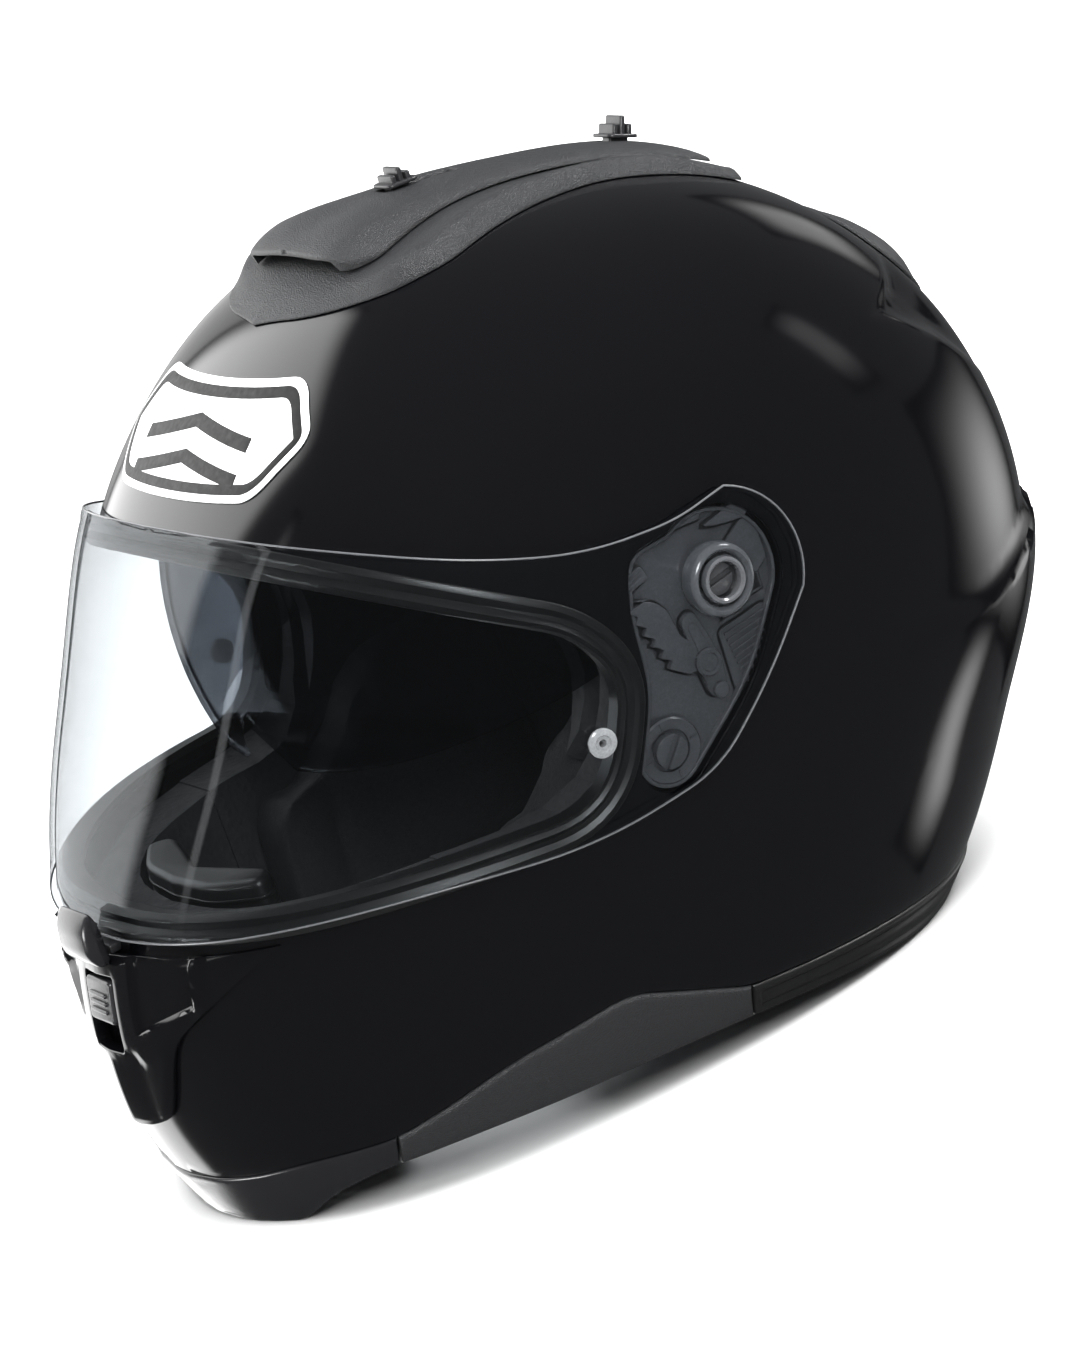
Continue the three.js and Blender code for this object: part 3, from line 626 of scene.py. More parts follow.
# ---------------------------------------------------------------- shared outlines
SIDES = (("left", 1), ("right", -1))
BEYOND = 240
EYEPORT = Outline("side", [
    (175, 238), (50, 156, 16), (41, 138, 12), (56, 104, 18), (110, 107.5, 30), (215, 109),
])
VISOR_EDGE = Outline("side", [
    (178, 240), (68, 188, 40), (38, 178, 20), (8, 175.5, 8), *arc((0, PIVOT_Z), 28, 112, 208, 14),
    (-4, 118, 14), (20, 99, 12), (62, 94.5, 30), (130, 103, 40), (215, 100),
])
POD = Outline("side", [
    *arc((0, PIVOT_Z), 22.5, 62, 208, 14), (-2, 118, 12), *arc(LOWER_SCREW, 12.5, 225, 350, 10),
    (33, 130, 8), (31, 156, 8), (25, 171, 6),
], step=1.2)
SEAM = [
    (-130, 11), (-75, 11, 20), (-40, 14.5, 10), (0, 19, 8), (22, 22, 4), (63, 41, 8), (102, 36, 10),
    (137, 24, 6), (160, 23, 6), (172, 20, 4), (182, 17.5), (BEYOND, 17.5),
]
RIM = [
    (-130, 0), (-56, 0, 8), (-16, 6, 12), (24, 11.5, 20), (60, 14.5, 20), (116, 16, 20),
    (143, 14, 6), (154, 9, 4), (160, 0, 2), (BEYOND, 0),
]
ABOVE_SEAM = Outline("side", SEAM + [(BEYOND, 360), (-BEYOND, 360), (-BEYOND, 11)])


def mirror(part):
    points, faces = part
    return points * (-1, 1, 1), [tuple(reversed(face)) for face in faces]


def outward(part):
    """The closed body with its faces turned to the outside."""
    points, faces = part
    points = np.asarray(points, float)
    middle = points.mean(0)
    volume = 0.0
    for face in faces:
        p = points[list(face)] - middle
        for k in range(1, len(p) - 1):
            volume += float(np.dot(p[0], np.cross(p[k], p[k + 1])))
    return points, (faces if volume > 0 else [tuple(reversed(f)) for f in faces])


def piece_on(side, name, body, node, material, parts):
    """A piece on one side, from parts made for the left; {} in a name stands for the side."""
    made = [mirror(p) for p in parts] if side == "right" else parts
    piece_of(name.format(side), body.format(side), [node.format(side)] if node else [], material, made)


VIEW_AXES = {
    "side": ((0, -1, 0), (0, 0, 1)), "plan": ((1, 0, 0), (0, -1, 0)),
    "front": ((1, 0, 0), (0, 0, 1)), "back": ((1, 0, 0), (0, 0, 1)),
}


def on_surface(form, view, centre, spin=0.0):
    """Places (a, b, height) points round a spot of a form, in the view's own two directions."""
    psi, tilt = form.locate(view, [centre])
    base, n = form.point(psi, tilt)[0], form.normal(psi, tilt)[0]
    a_way, b_way = (np.array(v, float) for v in VIEW_AXES[view])
    b = b_way - n * b_way.dot(n)
    b /= np.linalg.norm(b)
    a = np.cross(b, n)
    a *= np.sign(a.dot(a_way))
    c, s = math.cos(math.radians(spin)), math.sin(math.radians(spin))
    a, b = a * c + b * s, b * c - a * s
    return lambda p: base + np.outer(p[:, 0], a) + np.outer(p[:, 1], b) + np.outer(p[:, 2], n)


def along_x(centre, spin=0.0):
    """Places (f, z, x) points round a side spot, with x measured from the middle plane."""
    c, s = math.cos(math.radians(spin)), math.sin(math.radians(spin))

    def place(p):
        f, z = p[:, 0] * c - p[:, 1] * s, p[:, 0] * s + p[:, 1] * c
        return np.stack([p[:, 2], CENTRE_F - centre[0] - f, centre[1] + z], -1)
    return place


def boss(line, low, high, place, edge=0.4, foot=0.0):
    """A closed prism of an outline, rounded at its far end, and at its foot if asked."""
    line = np.asarray(line, float)
    if area_of(line) < 0:
        line = line[::-1]
    rings = []
    if foot:
        for k in ARC_INSETS[::-1]:
            rings.append((foot * k, low + float(quarter_round(foot * k, foot))))
    else:
        rings.append((0.0, low))
    for k in ARC_INSETS:
        rings.append((edge * k, high - float(quarter_round(edge * k, edge))))
    n = len(line)
    points = np.vstack([np.column_stack([inset(line, d), np.full(n, w)]) for d, w in rings])
    faces = [tuple(range(n))[::-1], tuple(range(len(points) - n, len(points)))]
    for r in range(len(rings) - 1):
        for i in range(n):
            j = (i + 1) % n
            faces.append((r * n + i, r * n + j, r * n + n + j, r * n + n + i))
    return outward((place(points), faces))


def lathe(profile, place, closed=True, segments=56):
    """A turned body of a (radius, height) profile. An open one is capped at both ends."""
    angles = np.arange(segments) / segments * TAU
    points = np.vstack([np.column_stack([r * np.cos(angles), r * np.sin(angles), np.full(segments, h)])
                        for r, h in profile])
    count = len(profile)
    faces = []
    for r in range(count if closed else count - 1):
        q = (r + 1) % count
        for i in range(segments):
            j = (i + 1) % segments
            faces.append((r * segments + i, r * segments + j, q * segments + j, q * segments + i))
    if not closed:
        faces.append(tuple(range(segments))[::-1])
        faces.append(tuple(range((count - 1) * segments, count * segments)))
    return outward((place(points), faces))


def circle(radius, segments=40):
    a = np.arange(segments) / segments * TAU
    return np.column_stack([radius * np.cos(a), radius * np.sin(a)])


def slotted_head(radius, low, floor, high, slot, place, edge=0.35):
    """A round head with a screwdriver slot: a disc and the two halves that stand on it."""
    reach = math.degrees(math.asin(slot / radius))
    half = np.array(arc((0, 0), radius, reach, 180 - reach, 20))
    return [boss(circle(radius), low, floor, place, edge=0.02),
            boss(half, floor - 0.05, high, place, edge), boss(half * (1, -1), floor - 0.05, high, place, edge)]


def smooth(t):
    t = np.clip(t, 0, 1)
    return t * t * (3 - 2 * t)


def beside(places, line, view="side"):
    """Signed distance from an open line (positive on its left) and the part of it passed."""
    a, b = line[:-1], line[1:]
    ab = b - a
    lengths = np.linalg.norm(ab, axis=1)
    start = np.concatenate([[0], np.cumsum(lengths)[:-1]])
    p = places[view][:, None, :]
    t = np.clip(((p - a) * ab).sum(-1) / (lengths**2 + 1e-12), 0, 1)
    gap = p - a - t[..., None] * ab
    far = np.linalg.norm(gap, axis=-1)
    best = far.argmin(1)
    rows = np.arange(len(best))
    turn = ab[best, 0] * gap[rows, best, 1] - ab[best, 1] * gap[rows, best, 0]
    return np.sign(turn) * far[rows, best], (start[best] + t[rows, best] * lengths[best]) / lengths.sum()


class Crease:
    """An open line on a form, given in one view, that a mesh gets edges along."""

    def __init__(self, view, corners, offsets=(0.0,), step=2.5):
        self.view = view
        self.line = resample(rounded(corners, closed=False), step, closed=False)
        self.offsets = offsets

    def runs(self, form, _):
        out = []
        for d in self.offsets:
            psi, tilt = form.locate(self.view, inset(self.line, d, closed=False))
            out.append((form.chart(psi, tilt), None))
        return out


# ---------------------------------------------------------------- outer shell
WING_TOP = Crease("side", [(-30, 101), (-67, 99, 20), (-105, 97, 10), (-138, 105)], (-6, -4, -2, 0, 2))
WING_RIDGE = Crease("side", [(-37, 56), (-57, 73, 10), (-88, 93, 10), (-122, 102)], (-2, 0, 2, 4, 7))
WING_FOOT = Crease("side", [(-36, 54), (-55, 47, 10), (-84, 37, 10), (-130, 30)], (-7, -4, -2, 0, 2))
SPOILER_EDGE = Crease("side", [(-130, 202), (-110, 197, 6), (-92, 196, 4), (-88, 193)], (-2, 0, 2))
SPOILER_CREASE = Crease("side", [(-88, 196), (-102, 190, 8), (-126, 170, 8), (-149, 147)], (-2, 0, 2, 4))


def rise(t):
    """From 0 to 1 with a crease at its foot."""
    return np.sin(np.clip(t, 0, 1) * math.pi / 2)


WING_LIP, WING_HOLLOW, SPOILER_STEP = 3.4, 6.5, 3.6


def shell_relief(places):
    """How far the painted skin stands off the plain form: the wings and spoiler at the rear."""
    x = np.abs(places["plan"][:, 0])
    above, way = beside(places, WING_TOP.line)
    lip = np.where(above > 0, 0.5 + 0.5 * np.cos(np.clip(above / 50, 0, 1) * math.pi), 1 - rise(-above / 8))
    relief = WING_LIP * lip * smooth(way / 0.8) * smooth((x - 20) / 40)
    across, _ = beside(places, WING_RIDGE.line)
    foot, _ = beside(places, WING_FOOT.line)
    relief -= WING_HOLLOW * rise(across / 18) * rise(-foot / 9) * smooth((x - 25) / 40) * (above < 0)
    over_edge, _ = beside(places, SPOILER_EDGE.line)
    over_crease, _ = beside(places, SPOILER_CREASE.line)
    return relief - SPOILER_STEP * rise(-over_edge / 7) * rise(-over_crease / 9) * smooth((x - 54) / 24)


def shell_inside(places):
    return np.minimum(shell_relief(places), 0) - SHELL_WALL


def build_shell():
    creases = [(c, (0,)) for c in (WING_TOP, WING_RIDGE, WING_FOOT, SPOILER_EDGE, SPOILER_CREASE)]
    skin = panel(SHELL_FORM, [(ABOVE_SEAM, 1), (EYEPORT.grown(3), -1), (POD, -1)], shell_relief, shell_inside,
                 edge=0.8, spacing=3, extra=creases)
    collar = panel(SHELL_FORM, [(POD.grown(2.2), 1), (POD, -1)], -SHELL_WALL + 0.1, -POD_DEPTH - 2,
                   edge=0, spacing=3)
    floor = panel(SHELL_FORM, [(POD.grown(1), 1)], -POD_DEPTH, -POD_DEPTH - 1.6, edge=0, spacing=3)
    piece_of("shell_skin", "helmet", ["outer_shell"], LACQUER, [skin, collar, floor])


GASKET_WIDTH = 9


def build_gasket():
    def top(places):
        grown = Form(out=VISOR_OUT - VISOR_WALL - 0.5, side=VISOR_SIDE - VISOR_WALL - 0.4)
        psi, tilt = SHELL_FORM.locate("side", places["side"])
        room = ((grown.point(psi, tilt) - SHELL_FORM.point(psi, tilt)) * SHELL_FORM.normal(psi, tilt)).sum(-1)
        d = -EYEPORT.depth(places)
        beads = 0.5 - 0.5 * np.cos(np.clip(d / GASKET_WIDTH * 2, 0, 2) * TAU)
        return room - 1.6 * (1 - beads) * np.clip((GASKET_WIDTH - d) / 2, 0.3, 1)

    rings = [(EYEPORT, (-1.1, -2.2, -3.4, -4.5, -5.6, -6.8, -8))]
    body = panel(SHELL_FORM, [(EYEPORT.grown(GASKET_WIDTH), 1), (EYEPORT, -1)], top, 0.2, edge=0.5, spacing=2.2,
                 extra=rings)
    lip = panel(SHELL_FORM, [(EYEPORT.grown(2.7), 1), (EYEPORT, -1)], 0.3, -6, edge=0, spacing=3)
    piece_of("gasket_rubber", "helmet", ["eyeport_gasket"], RUBBER, [body, lip])


def build_visor():
    def top(places):
        return np.where(VISOR_EDGE.depth(places) < 3, 0.0, -0.35)

    hub_hole = Outline("side", arc((0, PIVOT_Z), 5.9, 0, 345, 23), step=1.0)
    pin_hole = Outline("side", arc(INSERT_PIN, 2.4, 0, 330, 11), step=1.0)
    body = panel(VISOR_FORM, [(VISOR_EDGE, 1), (hub_hole, -1), (pin_hole, -1)], top, -VISOR_WALL,
                 edge=0.55, spacing=3.5, under=0.55, extra=[(VISOR_EDGE, (2.5, 4.0))])
    piece_of("visor_pane", "visor", ["visor"], CLEAR, [body])
    # A thin lighter strip inside the visor's edge: painted highlight, not a separate part.
    painted_highlight_strip = panel(VISOR_FORM, [(VISOR_EDGE, 1), (VISOR_EDGE.grown(-0.6), -1)], 0.04, -0.5,
                     edge=0.2, spacing=3)
    piece_of("visor_painted_highlight_strip", "visor", [], VISOR_EDGE_PAINTED_HIGHLIGHT, [painted_highlight_strip])
    pin = lathe([(2.1, -3.2), (2.1, -1), (4.2, -0.6), (4.6, 0.2), (4.5, 0.9), (3.8, 1.4), (2.6, 1.5),
                 (2.2, 0.9), (1.2, 0.8), (1.1, -3.2)], on_surface(VISOR_FORM, "side", INSERT_PIN))
    for side, _ in SIDES:
        piece_on(side, "insert_pin_{}_detail", "visor", "insert_pin_{}", PIN_PAINTED_HIGHLIGHT, [pin])


# ---------------------------------------------------------------- pivot mechanism
PLATE_TOP, PLATE_FOOT = -4.6, -6.2
LAYER = -4.4
RACK = [(28, 157), (23, 155.8)] + [p for i in range(6) for p in (
    (28 - 1.5 * i + 3.4, 154.6 - 4.3 * i), (28 - 1.5 * i + 0.4, 152.2 - 4.3 * i))] + [
    (18, 128.5), (13.5, 129), (12.5, 137, 2), (17, 140, 3), (18.5, 150, 2), (21.5, 154, 2)]
LEVER = [(8.5, 138, 3), (11, 147, 3), (16, 145, 3), (14, 126, 4), (13, 118, 3), (7.5, 118.5, 3), (6, 127, 4)]
PLATE_SHAPES = (
    # corners and height of each raised shape
    ([(37, 160, 1), (35.5, 172, 2), (12, 174.5, 3), (-4, 172.5, 3), (-2, 170.5), (12, 171.5),
      (30, 168.5, 2), (31.5, 160, 1)], -3.0),
    ([(32, 158.5, 1.5), (32.5, 163, 1.5), (22, 166.5, 1.5), (20.5, 161.5, 1.5)], -2.6),
    ([(-7, 160, 1), (-16, 165, 1.5), (-19.5, 160, 1.5), (-19.5, 150, 1.5), (-14, 147, 1)], -3.3),
    ([(-2, 168, 1), (-14, 170.5, 1), (-18.5, 166, 1), (-16.5, 164.5), (-6, 166.5)], -2.8),
    ([(4, 136, 2), (-14, 138, 2), (-16.5, 130, 2), (2, 112, 2), (4, 116, 2)], -4.2),
)
WINDOW_FRAMES = ([(1.5, 139), (1.5, 143.5), (-2, 143.8), (-2, 139.3)],
                 [(-9.5, 141.5), (-9.5, 147), (-15, 147.8), (-15, 142)])
WINDOWS = ([(0.9, 139.7), (0.9, 142.9), (-1.4, 143.1), (-1.4, 140)],
           [(-10.1, 142.3), (-10.1, 146.4), (-14.4, 147), (-14.4, 142.7)])
RIB_WIDTH = 0.7
SHADE_RING_WIDTH = 0.75
SHADE_RINGS = []        # black rings of painted shade round the raised shapes of the plate, standing in for their shadows


def pod_panel(corners, top, low=PLATE_TOP - 0.5, edge=0.35, spacing=2.5):
    """A raised shape in a pivot recess; a bold one also gets a black ring of painted shade round it."""
    outline = Outline("side", corners, step=1.0)
    # A black sheet just wider than the shape: painted shade standing in for the shadow line round it.
    if edge >= 0.3:
        gap = outline.grown(SHADE_RING_WIDTH)
        gap.line = thin_out(gap.line, 0.6)
        SHADE_RINGS.append(panel(SHELL_FORM, [(gap, 1)], PLATE_TOP + 0.12, PLATE_TOP - 0.4,
                          edge=0, spacing=4, both_sides=False))
    return panel(SHELL_FORM, [(outline, 1)], top, low, edge=edge, spacing=spacing, both_sides=False)


def plate_relief():
    """The raised rim, frames, pads and ribs moulded on the pivot's base plate."""
    parts = [panel(SHELL_FORM, [(POD.grown(-1.0), 1), (POD.grown(-2.2), -1)], -2.6, PLATE_TOP - 0.3,
                   edge=0.3, spacing=2, both_sides=False)]
    parts += [pod_panel(corners, top) for corners, top in PLATE_SHAPES[:2]]
    for k in range(3):
        parts.append(pod_panel([(30.6, 159.6 + 1.7 * k), (30.8, 160.3 + 1.7 * k), (23.0, 162.9 + 1.6 * k),
                                (22.8, 162.2 + 1.6 * k)], -2.25, low=-3.0, edge=0.15))
    parts += [pod_panel(corners, top) for corners, top in PLATE_SHAPES[2:]]
    for k in range(11):
        f, z = 2.5 - 0.3 * k, 134.6 - 2.05 * k
        back = f - max(2.5, 17 - 1.45 * k)
        parts.append(pod_panel([(f, z), (back, z + 1.6), (back, z + 1.6 - RIB_WIDTH), (f, z - RIB_WIDTH)],
                               -3.5, low=LAYER - 0.2, edge=0.15))
    return parts + [pod_panel(corners, -3.6, edge=0.3) for corners in WINDOW_FRAMES]


def build_screw():
    """The lower slotted screw and the ring that it turns in, with four marks on the ring."""
    place = on_surface(SHELL_FORM, "side", LOWER_SCREW, spin=-52)
    ring = lathe([(6.6, -4.4), (10.2, -4.4), (10.4, -3.4), (9.9, -2.9), (7.4, -3.1), (6.7, -3.4)], place)
    parts = slotted_head(5.4, LAYER, -3.0, -1.9, 0.95, place) + [ring]
    for k in range(4):
        a = math.radians(45 + 90 * k)
        out, side = np.array([math.cos(a), math.sin(a)]), 0.3 * np.array([-math.sin(a), math.cos(a)])
        bar = np.array([7.2 * out + side, 7.2 * out - side, 9.8 * out - side, 9.8 * out + side])
        parts.append(boss(bar, -3.3, -2.7, place, 0.1))
    return parts


def build_lever():
    grip_line = [(9.8, 136.5, 2), (11.6, 143.4, 2), (14.4, 142.6, 2), (12.6, 127, 2), (8, 127.5, 2)]
    cap = [(0.6, -2.6), (4.3, -2.4), (4.4, -0.9), (3.9, -0.3), (2.9, -0.3), (2.6, -0.9), (0.6, -1.0)]
    stud = [(0.4, -2.6), (2.5, -2.4), (2.5, -1.0), (2.0, -0.6), (0.4, -0.6)]
    return [pod_panel(LEVER, -2.3, low=LAYER, edge=0.4), pod_panel(grip_line, -1.8, low=-3, edge=0.3),
            lathe(cap, on_surface(SHELL_FORM, "side", (11.5, 130)), closed=False),
            lathe(stud, on_surface(SHELL_FORM, "side", (10, 120)), closed=False)]


def build_pods():
    plate = panel(SHELL_FORM, [(POD.grown(-0.7), 1)], PLATE_TOP, PLATE_FOOT,
                  edge=0.4, spacing=3, both_sides=False)
    relief = plate_relief()
    windows = [pod_panel(corners, -3.52, edge=0.1) for corners in WINDOWS]
    rack = [pod_panel(RACK, -2.2, low=LAYER, edge=0.4)]
    lever, screw = build_lever(), build_screw()
    hub_at = along_x((0, PIVOT_Z), spin=-8)
    hub = slotted_head(5.2, 119.2, 122.6, 124.0, 0.9, hub_at)
    hub.append(lathe([(5.4, 119.2), (8.6, 119.2), (8.6, 121.2), (5.4, 121.2)], hub_at))
    outer = [(7.6, 121.4), (11.2, 121.4), (11.4, 123.6), (11.0, 126.4), (10.3, 127.4), (9.3, 127.7),
             (8.2, 126.6), (7.7, 124.6)]
    inner = [(5.5, 125.8), (7.2, 125.8), (7.4, 127.2), (6.9, 128.2), (6.1, 128.4), (5.5, 127.8)]
    rings = [lathe(profile, hub_at) for profile in (outer, inner)]
    for side, _ in SIDES:
        for name, node, material, parts in (
            ("pivot_plate_{}", "base_plate_{}", MECHANISM, [plate]),
            ("plate_gaps_{}", None, PAINTED_SHADE_BLACK, SHADE_RINGS),
            ("plate_relief_{}", None, MECHANISM, relief),
            ("rack_detail_{}", "detent_rack_{}", MECHANISM, rack),
            ("lower_screw_detail_{}", "lower_screw_{}", MECHANISM, screw),
            ("hub_detail_{}", "visor_hub_{}", MECHANISM, hub),
            ("lever_detail_{}", "release_lever_{}", MECHANISM, lever),
            ("hub_ring_{}", None, HUB_RING_PAINTED_HIGHLIGHT, rings),
            ("pod_windows_{}", None, MECHANISM_DARK, windows),
        ):
            body = "release_lever_{}" if parts is lever else "helmet"
            piece_on(side, name, body, node, material, parts)


# ---------------------------------------------------------------- crown vent
SKIRT = Outline("plan", [
    (0, 57), (24, 52, 14), (38, 45, 10), (50, 33, 10), (54, 14, 12), (50, 0, 14), (38, -34, 20),
    (33, -55, 20), (36, -80, 20), (35, -104, 10), (0, -112),
])
COVER = Outline("plan", [
    (0, 37), (20, 37, 6), (31, 34.5, 4), (36, 27, 6), (33, 14, 12), (26, -9, 20), (20, -36, 20),
    (19, -62, 20), (25, -84, 12), (26, -98, 8), (0, -103),
])
SLOT_HALF = 3.4
SUN_SLOT, VENT_SLOT = (
    Outline("plan", [(0, f1), (SLOT_HALF, f1, 2), (SLOT_HALF, f0, 2), (0, f0)], step=1.2)
    for f0, f1 in ((-23.5, 1.3), (-98, -73.6)))
MOUTH = Outline("plan", [(0, 70), (26, 70), (26, 30, 4), (24, 22, 3), (0, 20)], step=2)


def skirt_relief(places):
    inside = np.maximum(SKIRT.depth(places), 0)
    from_cover = np.maximum(-COVER.depth(places), 0)
    r = inside / (inside + from_cover + 1e-6)
    fall = 0.42 + 0.58 * np.clip((1 - r) / 0.58, 0, 1) ** 1.7
    fin = np.where(r < 0.42, np.sin(np.clip(r / 0.42, 0, 1) * math.pi / 2), fall)
    f = places["plan"][:, 1]
    apron = smooth((f - 26) / 16)
    tail = smooth((-f - 70) / 30)
    return 1.0 + (1 - apron) * (4.6 - 2.2 * tail) * fin + apron * 1.0 * smooth(inside / 8)


def cover_relief(places):
    inside = np.maximum(COVER.depth(places), 0)
    f, x = places["plan"][:, 1], np.abs(places["plan"][:, 0])
    lift = smooth((f + 6) / 42) * smooth((38 - x) / 16)
    dish = smooth(inside / 14) * smooth((16 - x) / 16) * smooth((f - 2) / 14)
    return 4.6 + 2.6 * (1 - np.exp(-inside / 7)) + 4.4 * lift - 1.2 * dish


def cover_under(places):
    inside = smooth(MOUTH.depth(places) / 2.0 + 0.5)
    return 3.6 + (cover_relief(places) - 1.5 - 3.6) * inside


def grip(f, rib):
    """A slider's cap on the crown with its raised cross ribs."""
    place = on_surface(SHELL_FORM, "plan", (0.001, f))
    half_l, half_w = 5.5, 6.0
    parts = [boss(box_line(-half_w, half_w, -half_l, half_l, 2.5), 8.0, 9.2, place, 0.5, foot=0.3),
             boss(box_line(-2.6, 2.6, 2 - half_l, half_l - 2, 1), 5.4, 8.2, place, 0.1)]
    for b, high in ((-2.6, 0.55 * rib), (0, rib), (2.6, 0.55 * rib)):
        ridge = box_line(1.2 - half_w, half_w - 1.2, b - 0.9, b + 0.9, 0.8, steps=5)
        parts.append(boss(ridge, 9.0, 9.2 + high, place, 0.55))
    return parts


def build_crown():
    base = panel(SHELL_FORM, [(SKIRT, 1)], skirt_relief, 0.35, edge=0.6, spacing=2.6,
                 extra=[(SKIRT, (2.5, 4, 5.5, 7.5)), (COVER, (-5.5, -4, -2.5, -1.2, 0))])
    piece_of("crown_base_detail", "helmet", ["crown_vent_base"], GRAINED, [base])
    cover = panel(SHELL_FORM, [(COVER, 1), (SUN_SLOT, -1), (VENT_SLOT, -1)], cover_relief, cover_under,
                  edge=0.9, spacing=3, extra=[(COVER, (3, 6)), (MOUTH, (-1, 0, 1))])
    piece_of("crown_cover_detail", "helmet", ["crown_vent_cover"], GRAINED, [cover])
    for name, node, f, rib in (("sun_grip", "sun_visor_slider", -4.0, 4.2),
                               ("vent_grip", "crown_vent_slider", -80.0, 5.8)):
        piece_of(name, node, [node], SATIN, grip(f, rib))


# ---------------------------------------------------------------- chin
YOKE = Outline("front", [
    (0, 94.5), (46, 96, 4), (73, 97, 1.5), (49, 81, 4), (31, 69, 8), (25, 54, 10), (18, 43, 5),
    (8, 40, 4), (0, 39.5),
], step=1.5)
TRACK = Outline("front", [(0, 88), (9, 88, 1), (9, 65, 2), (0, 65)], step=1.2)


YOKE_CREASES = [Crease("front", line, (-0.7, 0.7)) for line in (
    [(17.5, 94), (17.5, 72), (44, 81.5)], [(43.2, 95), (43.2, 82)], [(48.2, 95), (48.2, 83)])]


def yoke_relief(places):
    x, z = np.abs(places["front"][:, 0]), places["front"][:, 1]
    inside = np.maximum(YOKE.depth(places), 0)
    ridge = np.clip(1 - x / np.where(z > 64, 30, 13), 0, 1)
    arm = smooth((x - 17) / 1.5) * smooth((44 - x) / 1.5) * smooth((z - 71 - 0.35 * (x - 17)) / 1.5)
    wing = smooth((x - 47.5) / 1.5)
    bar = smooth((x - 44) / 1) * smooth((48 - x) / 1)
    return 2.2 + 2.3 * ridge + 0.9 * smooth(inside / 2.5) - 2.0 * arm + 1.0 * bar - 1.3 * wing


def build_chin():
    yoke = panel(SHELL_FORM, [(YOKE, 1), (TRACK, -1)], yoke_relief, 0.35, edge=0.6, spacing=2.0,
                 extra=[(YOKE, (2, 3.2)), *[(c, (0,)) for c in YOKE_CREASES]])
    piece_of("chin_vent_detail", "helmet", ["chin_vent_cover"], LACQUER, [yoke])
    place = on_surface(SHELL_FORM, "front", (0.001, 80.2))
    slider = [boss(box_line(-8.4, 8.4, -7, 7, 2), 1.3, 5.0, place, 1.0, foot=0.3)]
    for k in range(3):
        b = -3.2 + 2.6 * k
        slider.append(boss(box_line(-5.5, 5.5, b - 0.7, b + 0.7, 0.6, steps=4), 4.8, 5.8, place, 0.4))
    piece_of("chin_slider_detail", "chin_vent_slider", ["chin_vent_slider"], SATIN, slider)


# ---------------------------------------------------------------- rim trims
SEAM_LINE = resample(rounded(SEAM, closed=False), 2, closed=False)
RIM_LINE = resample(rounded(RIM, closed=False), 2, closed=False)
TRIM_EDGE = 1.2
TRIM_GROOVE_AT = 3.2
TRIM_THICKNESS = 9.0


def rim_band(f0, f1):
    """The side outline of the rim trim between two places along it."""
    def cut(line):
        inside = line[(line[:, 0] > f0) & (line[:, 0] < f1)]
        ends = [(f, float(np.interp(f, line[:, 0], line[:, 1]))) for f in (f0, f1)]
        return np.vstack([ends[:1], inside, ends[1:]])
    other = object.__new__(Outline)
    other.view = "side"
    other.line = thin_out(np.vstack([cut(RIM_LINE), cut(SEAM_LINE)[::-1]]), 0.3)
    return other


def trim(f0, f1, top, groove=0.0):
    """The trim between two places along the rim, with a groove below its upper edge if asked."""
    outline = rim_band(f0, f1)
    insets = tuple(TRIM_EDGE * k for k in ARC_INSETS)
    extra = (TRIM_GROOVE_AT - 1, TRIM_GROOVE_AT, TRIM_GROOVE_AT + 1) if groove else (2.5,)
    psi, tilt, faces = chart_mesh(SHELL_FORM, [(outline, 1)], [(outline, insets + extra)], 3.0)
    depth = np.maximum(outline.depth(SHELL_FORM.views(psi, tilt)), 0)
    high = top - quarter_round(depth, TRIM_EDGE) - groove * np.exp(-((depth - TRIM_GROOVE_AT) / 0.7) ** 2)
    base, normal = SHELL_FORM.point(psi, tilt), SHELL_FORM.normal(psi, tilt)
    level = normal * (1, 1, 0)
    level /= np.linalg.norm(level, axis=1, keepdims=True) + 1e-9
    return body_between(base + normal * high[:, None], base - level * TRIM_THICKNESS, tilt, faces)


def half_of(part, hand):
    """The bodies of a part on one side of the middle plane."""
    points, faces = part
    keep = [f for f in faces if points[list(f), 0].mean() * hand > 0]
    used = sorted({i for f in keep for i in f})
    index = {v: i for i, v in enumerate(used)}
    return points[used], [tuple(index[i] for i in f) for f in keep]


def build_trims():
    piece_of("rim_front", "helmet", ["front_rim_trim"], TRIM_GLOSS, [trim(137.2, 239, 0.8)])
    piece_of("rim_rear", "helmet", ["rear_rim_trim"], RUBBER, [trim(-129, 21.8, 0.9, groove=0.7)])
    skirts = trim(22.2, 136.8, 0.9)
    for side, hand in SIDES:
        piece_of(f"skirt_{side}", "helmet", [f"side_skirt_{side}"], GRAINED,
                 [half_of(skirts, hand)])


# ---------------------------------------------------------------- badge, rear vent, visor lock
BADGE = Outline("front", [(0, 240.5), (44, 240.5, 6), (58, 227, 5), (44, 213.5, 6), (0, 213.5)], step=1.2)


def badge_mark(*outlines):
    return panel(SHELL_FORM, outlines, 0.95, 0.7, edge=0.05, spacing=2.5)


def build_badge():
    """A plain six-sided badge: a black line inside its edge, and two chevrons."""
    plate = panel(SHELL_FORM, [(BADGE, 1)], 0.8, 0.3, edge=0.25, spacing=3)
    piece_of("badge_plate", "helmet", ["forehead_emblem"], WHITE, [plate])
    marks = [badge_mark((BADGE.grown(-1.8), 1), (BADGE.grown(-4.2), -1))]
    for z in (221.5, 229.5):
        chevron = Outline("front", [(0, z + 3.4), (34, z - 1.6), (34, z - 4.8), (0, z + 0.2)], step=1.2)
        marks.append(badge_mark((chevron, 1)))
    piece_of("badge_marks", "helmet", [], BADGE_BLACK, marks)


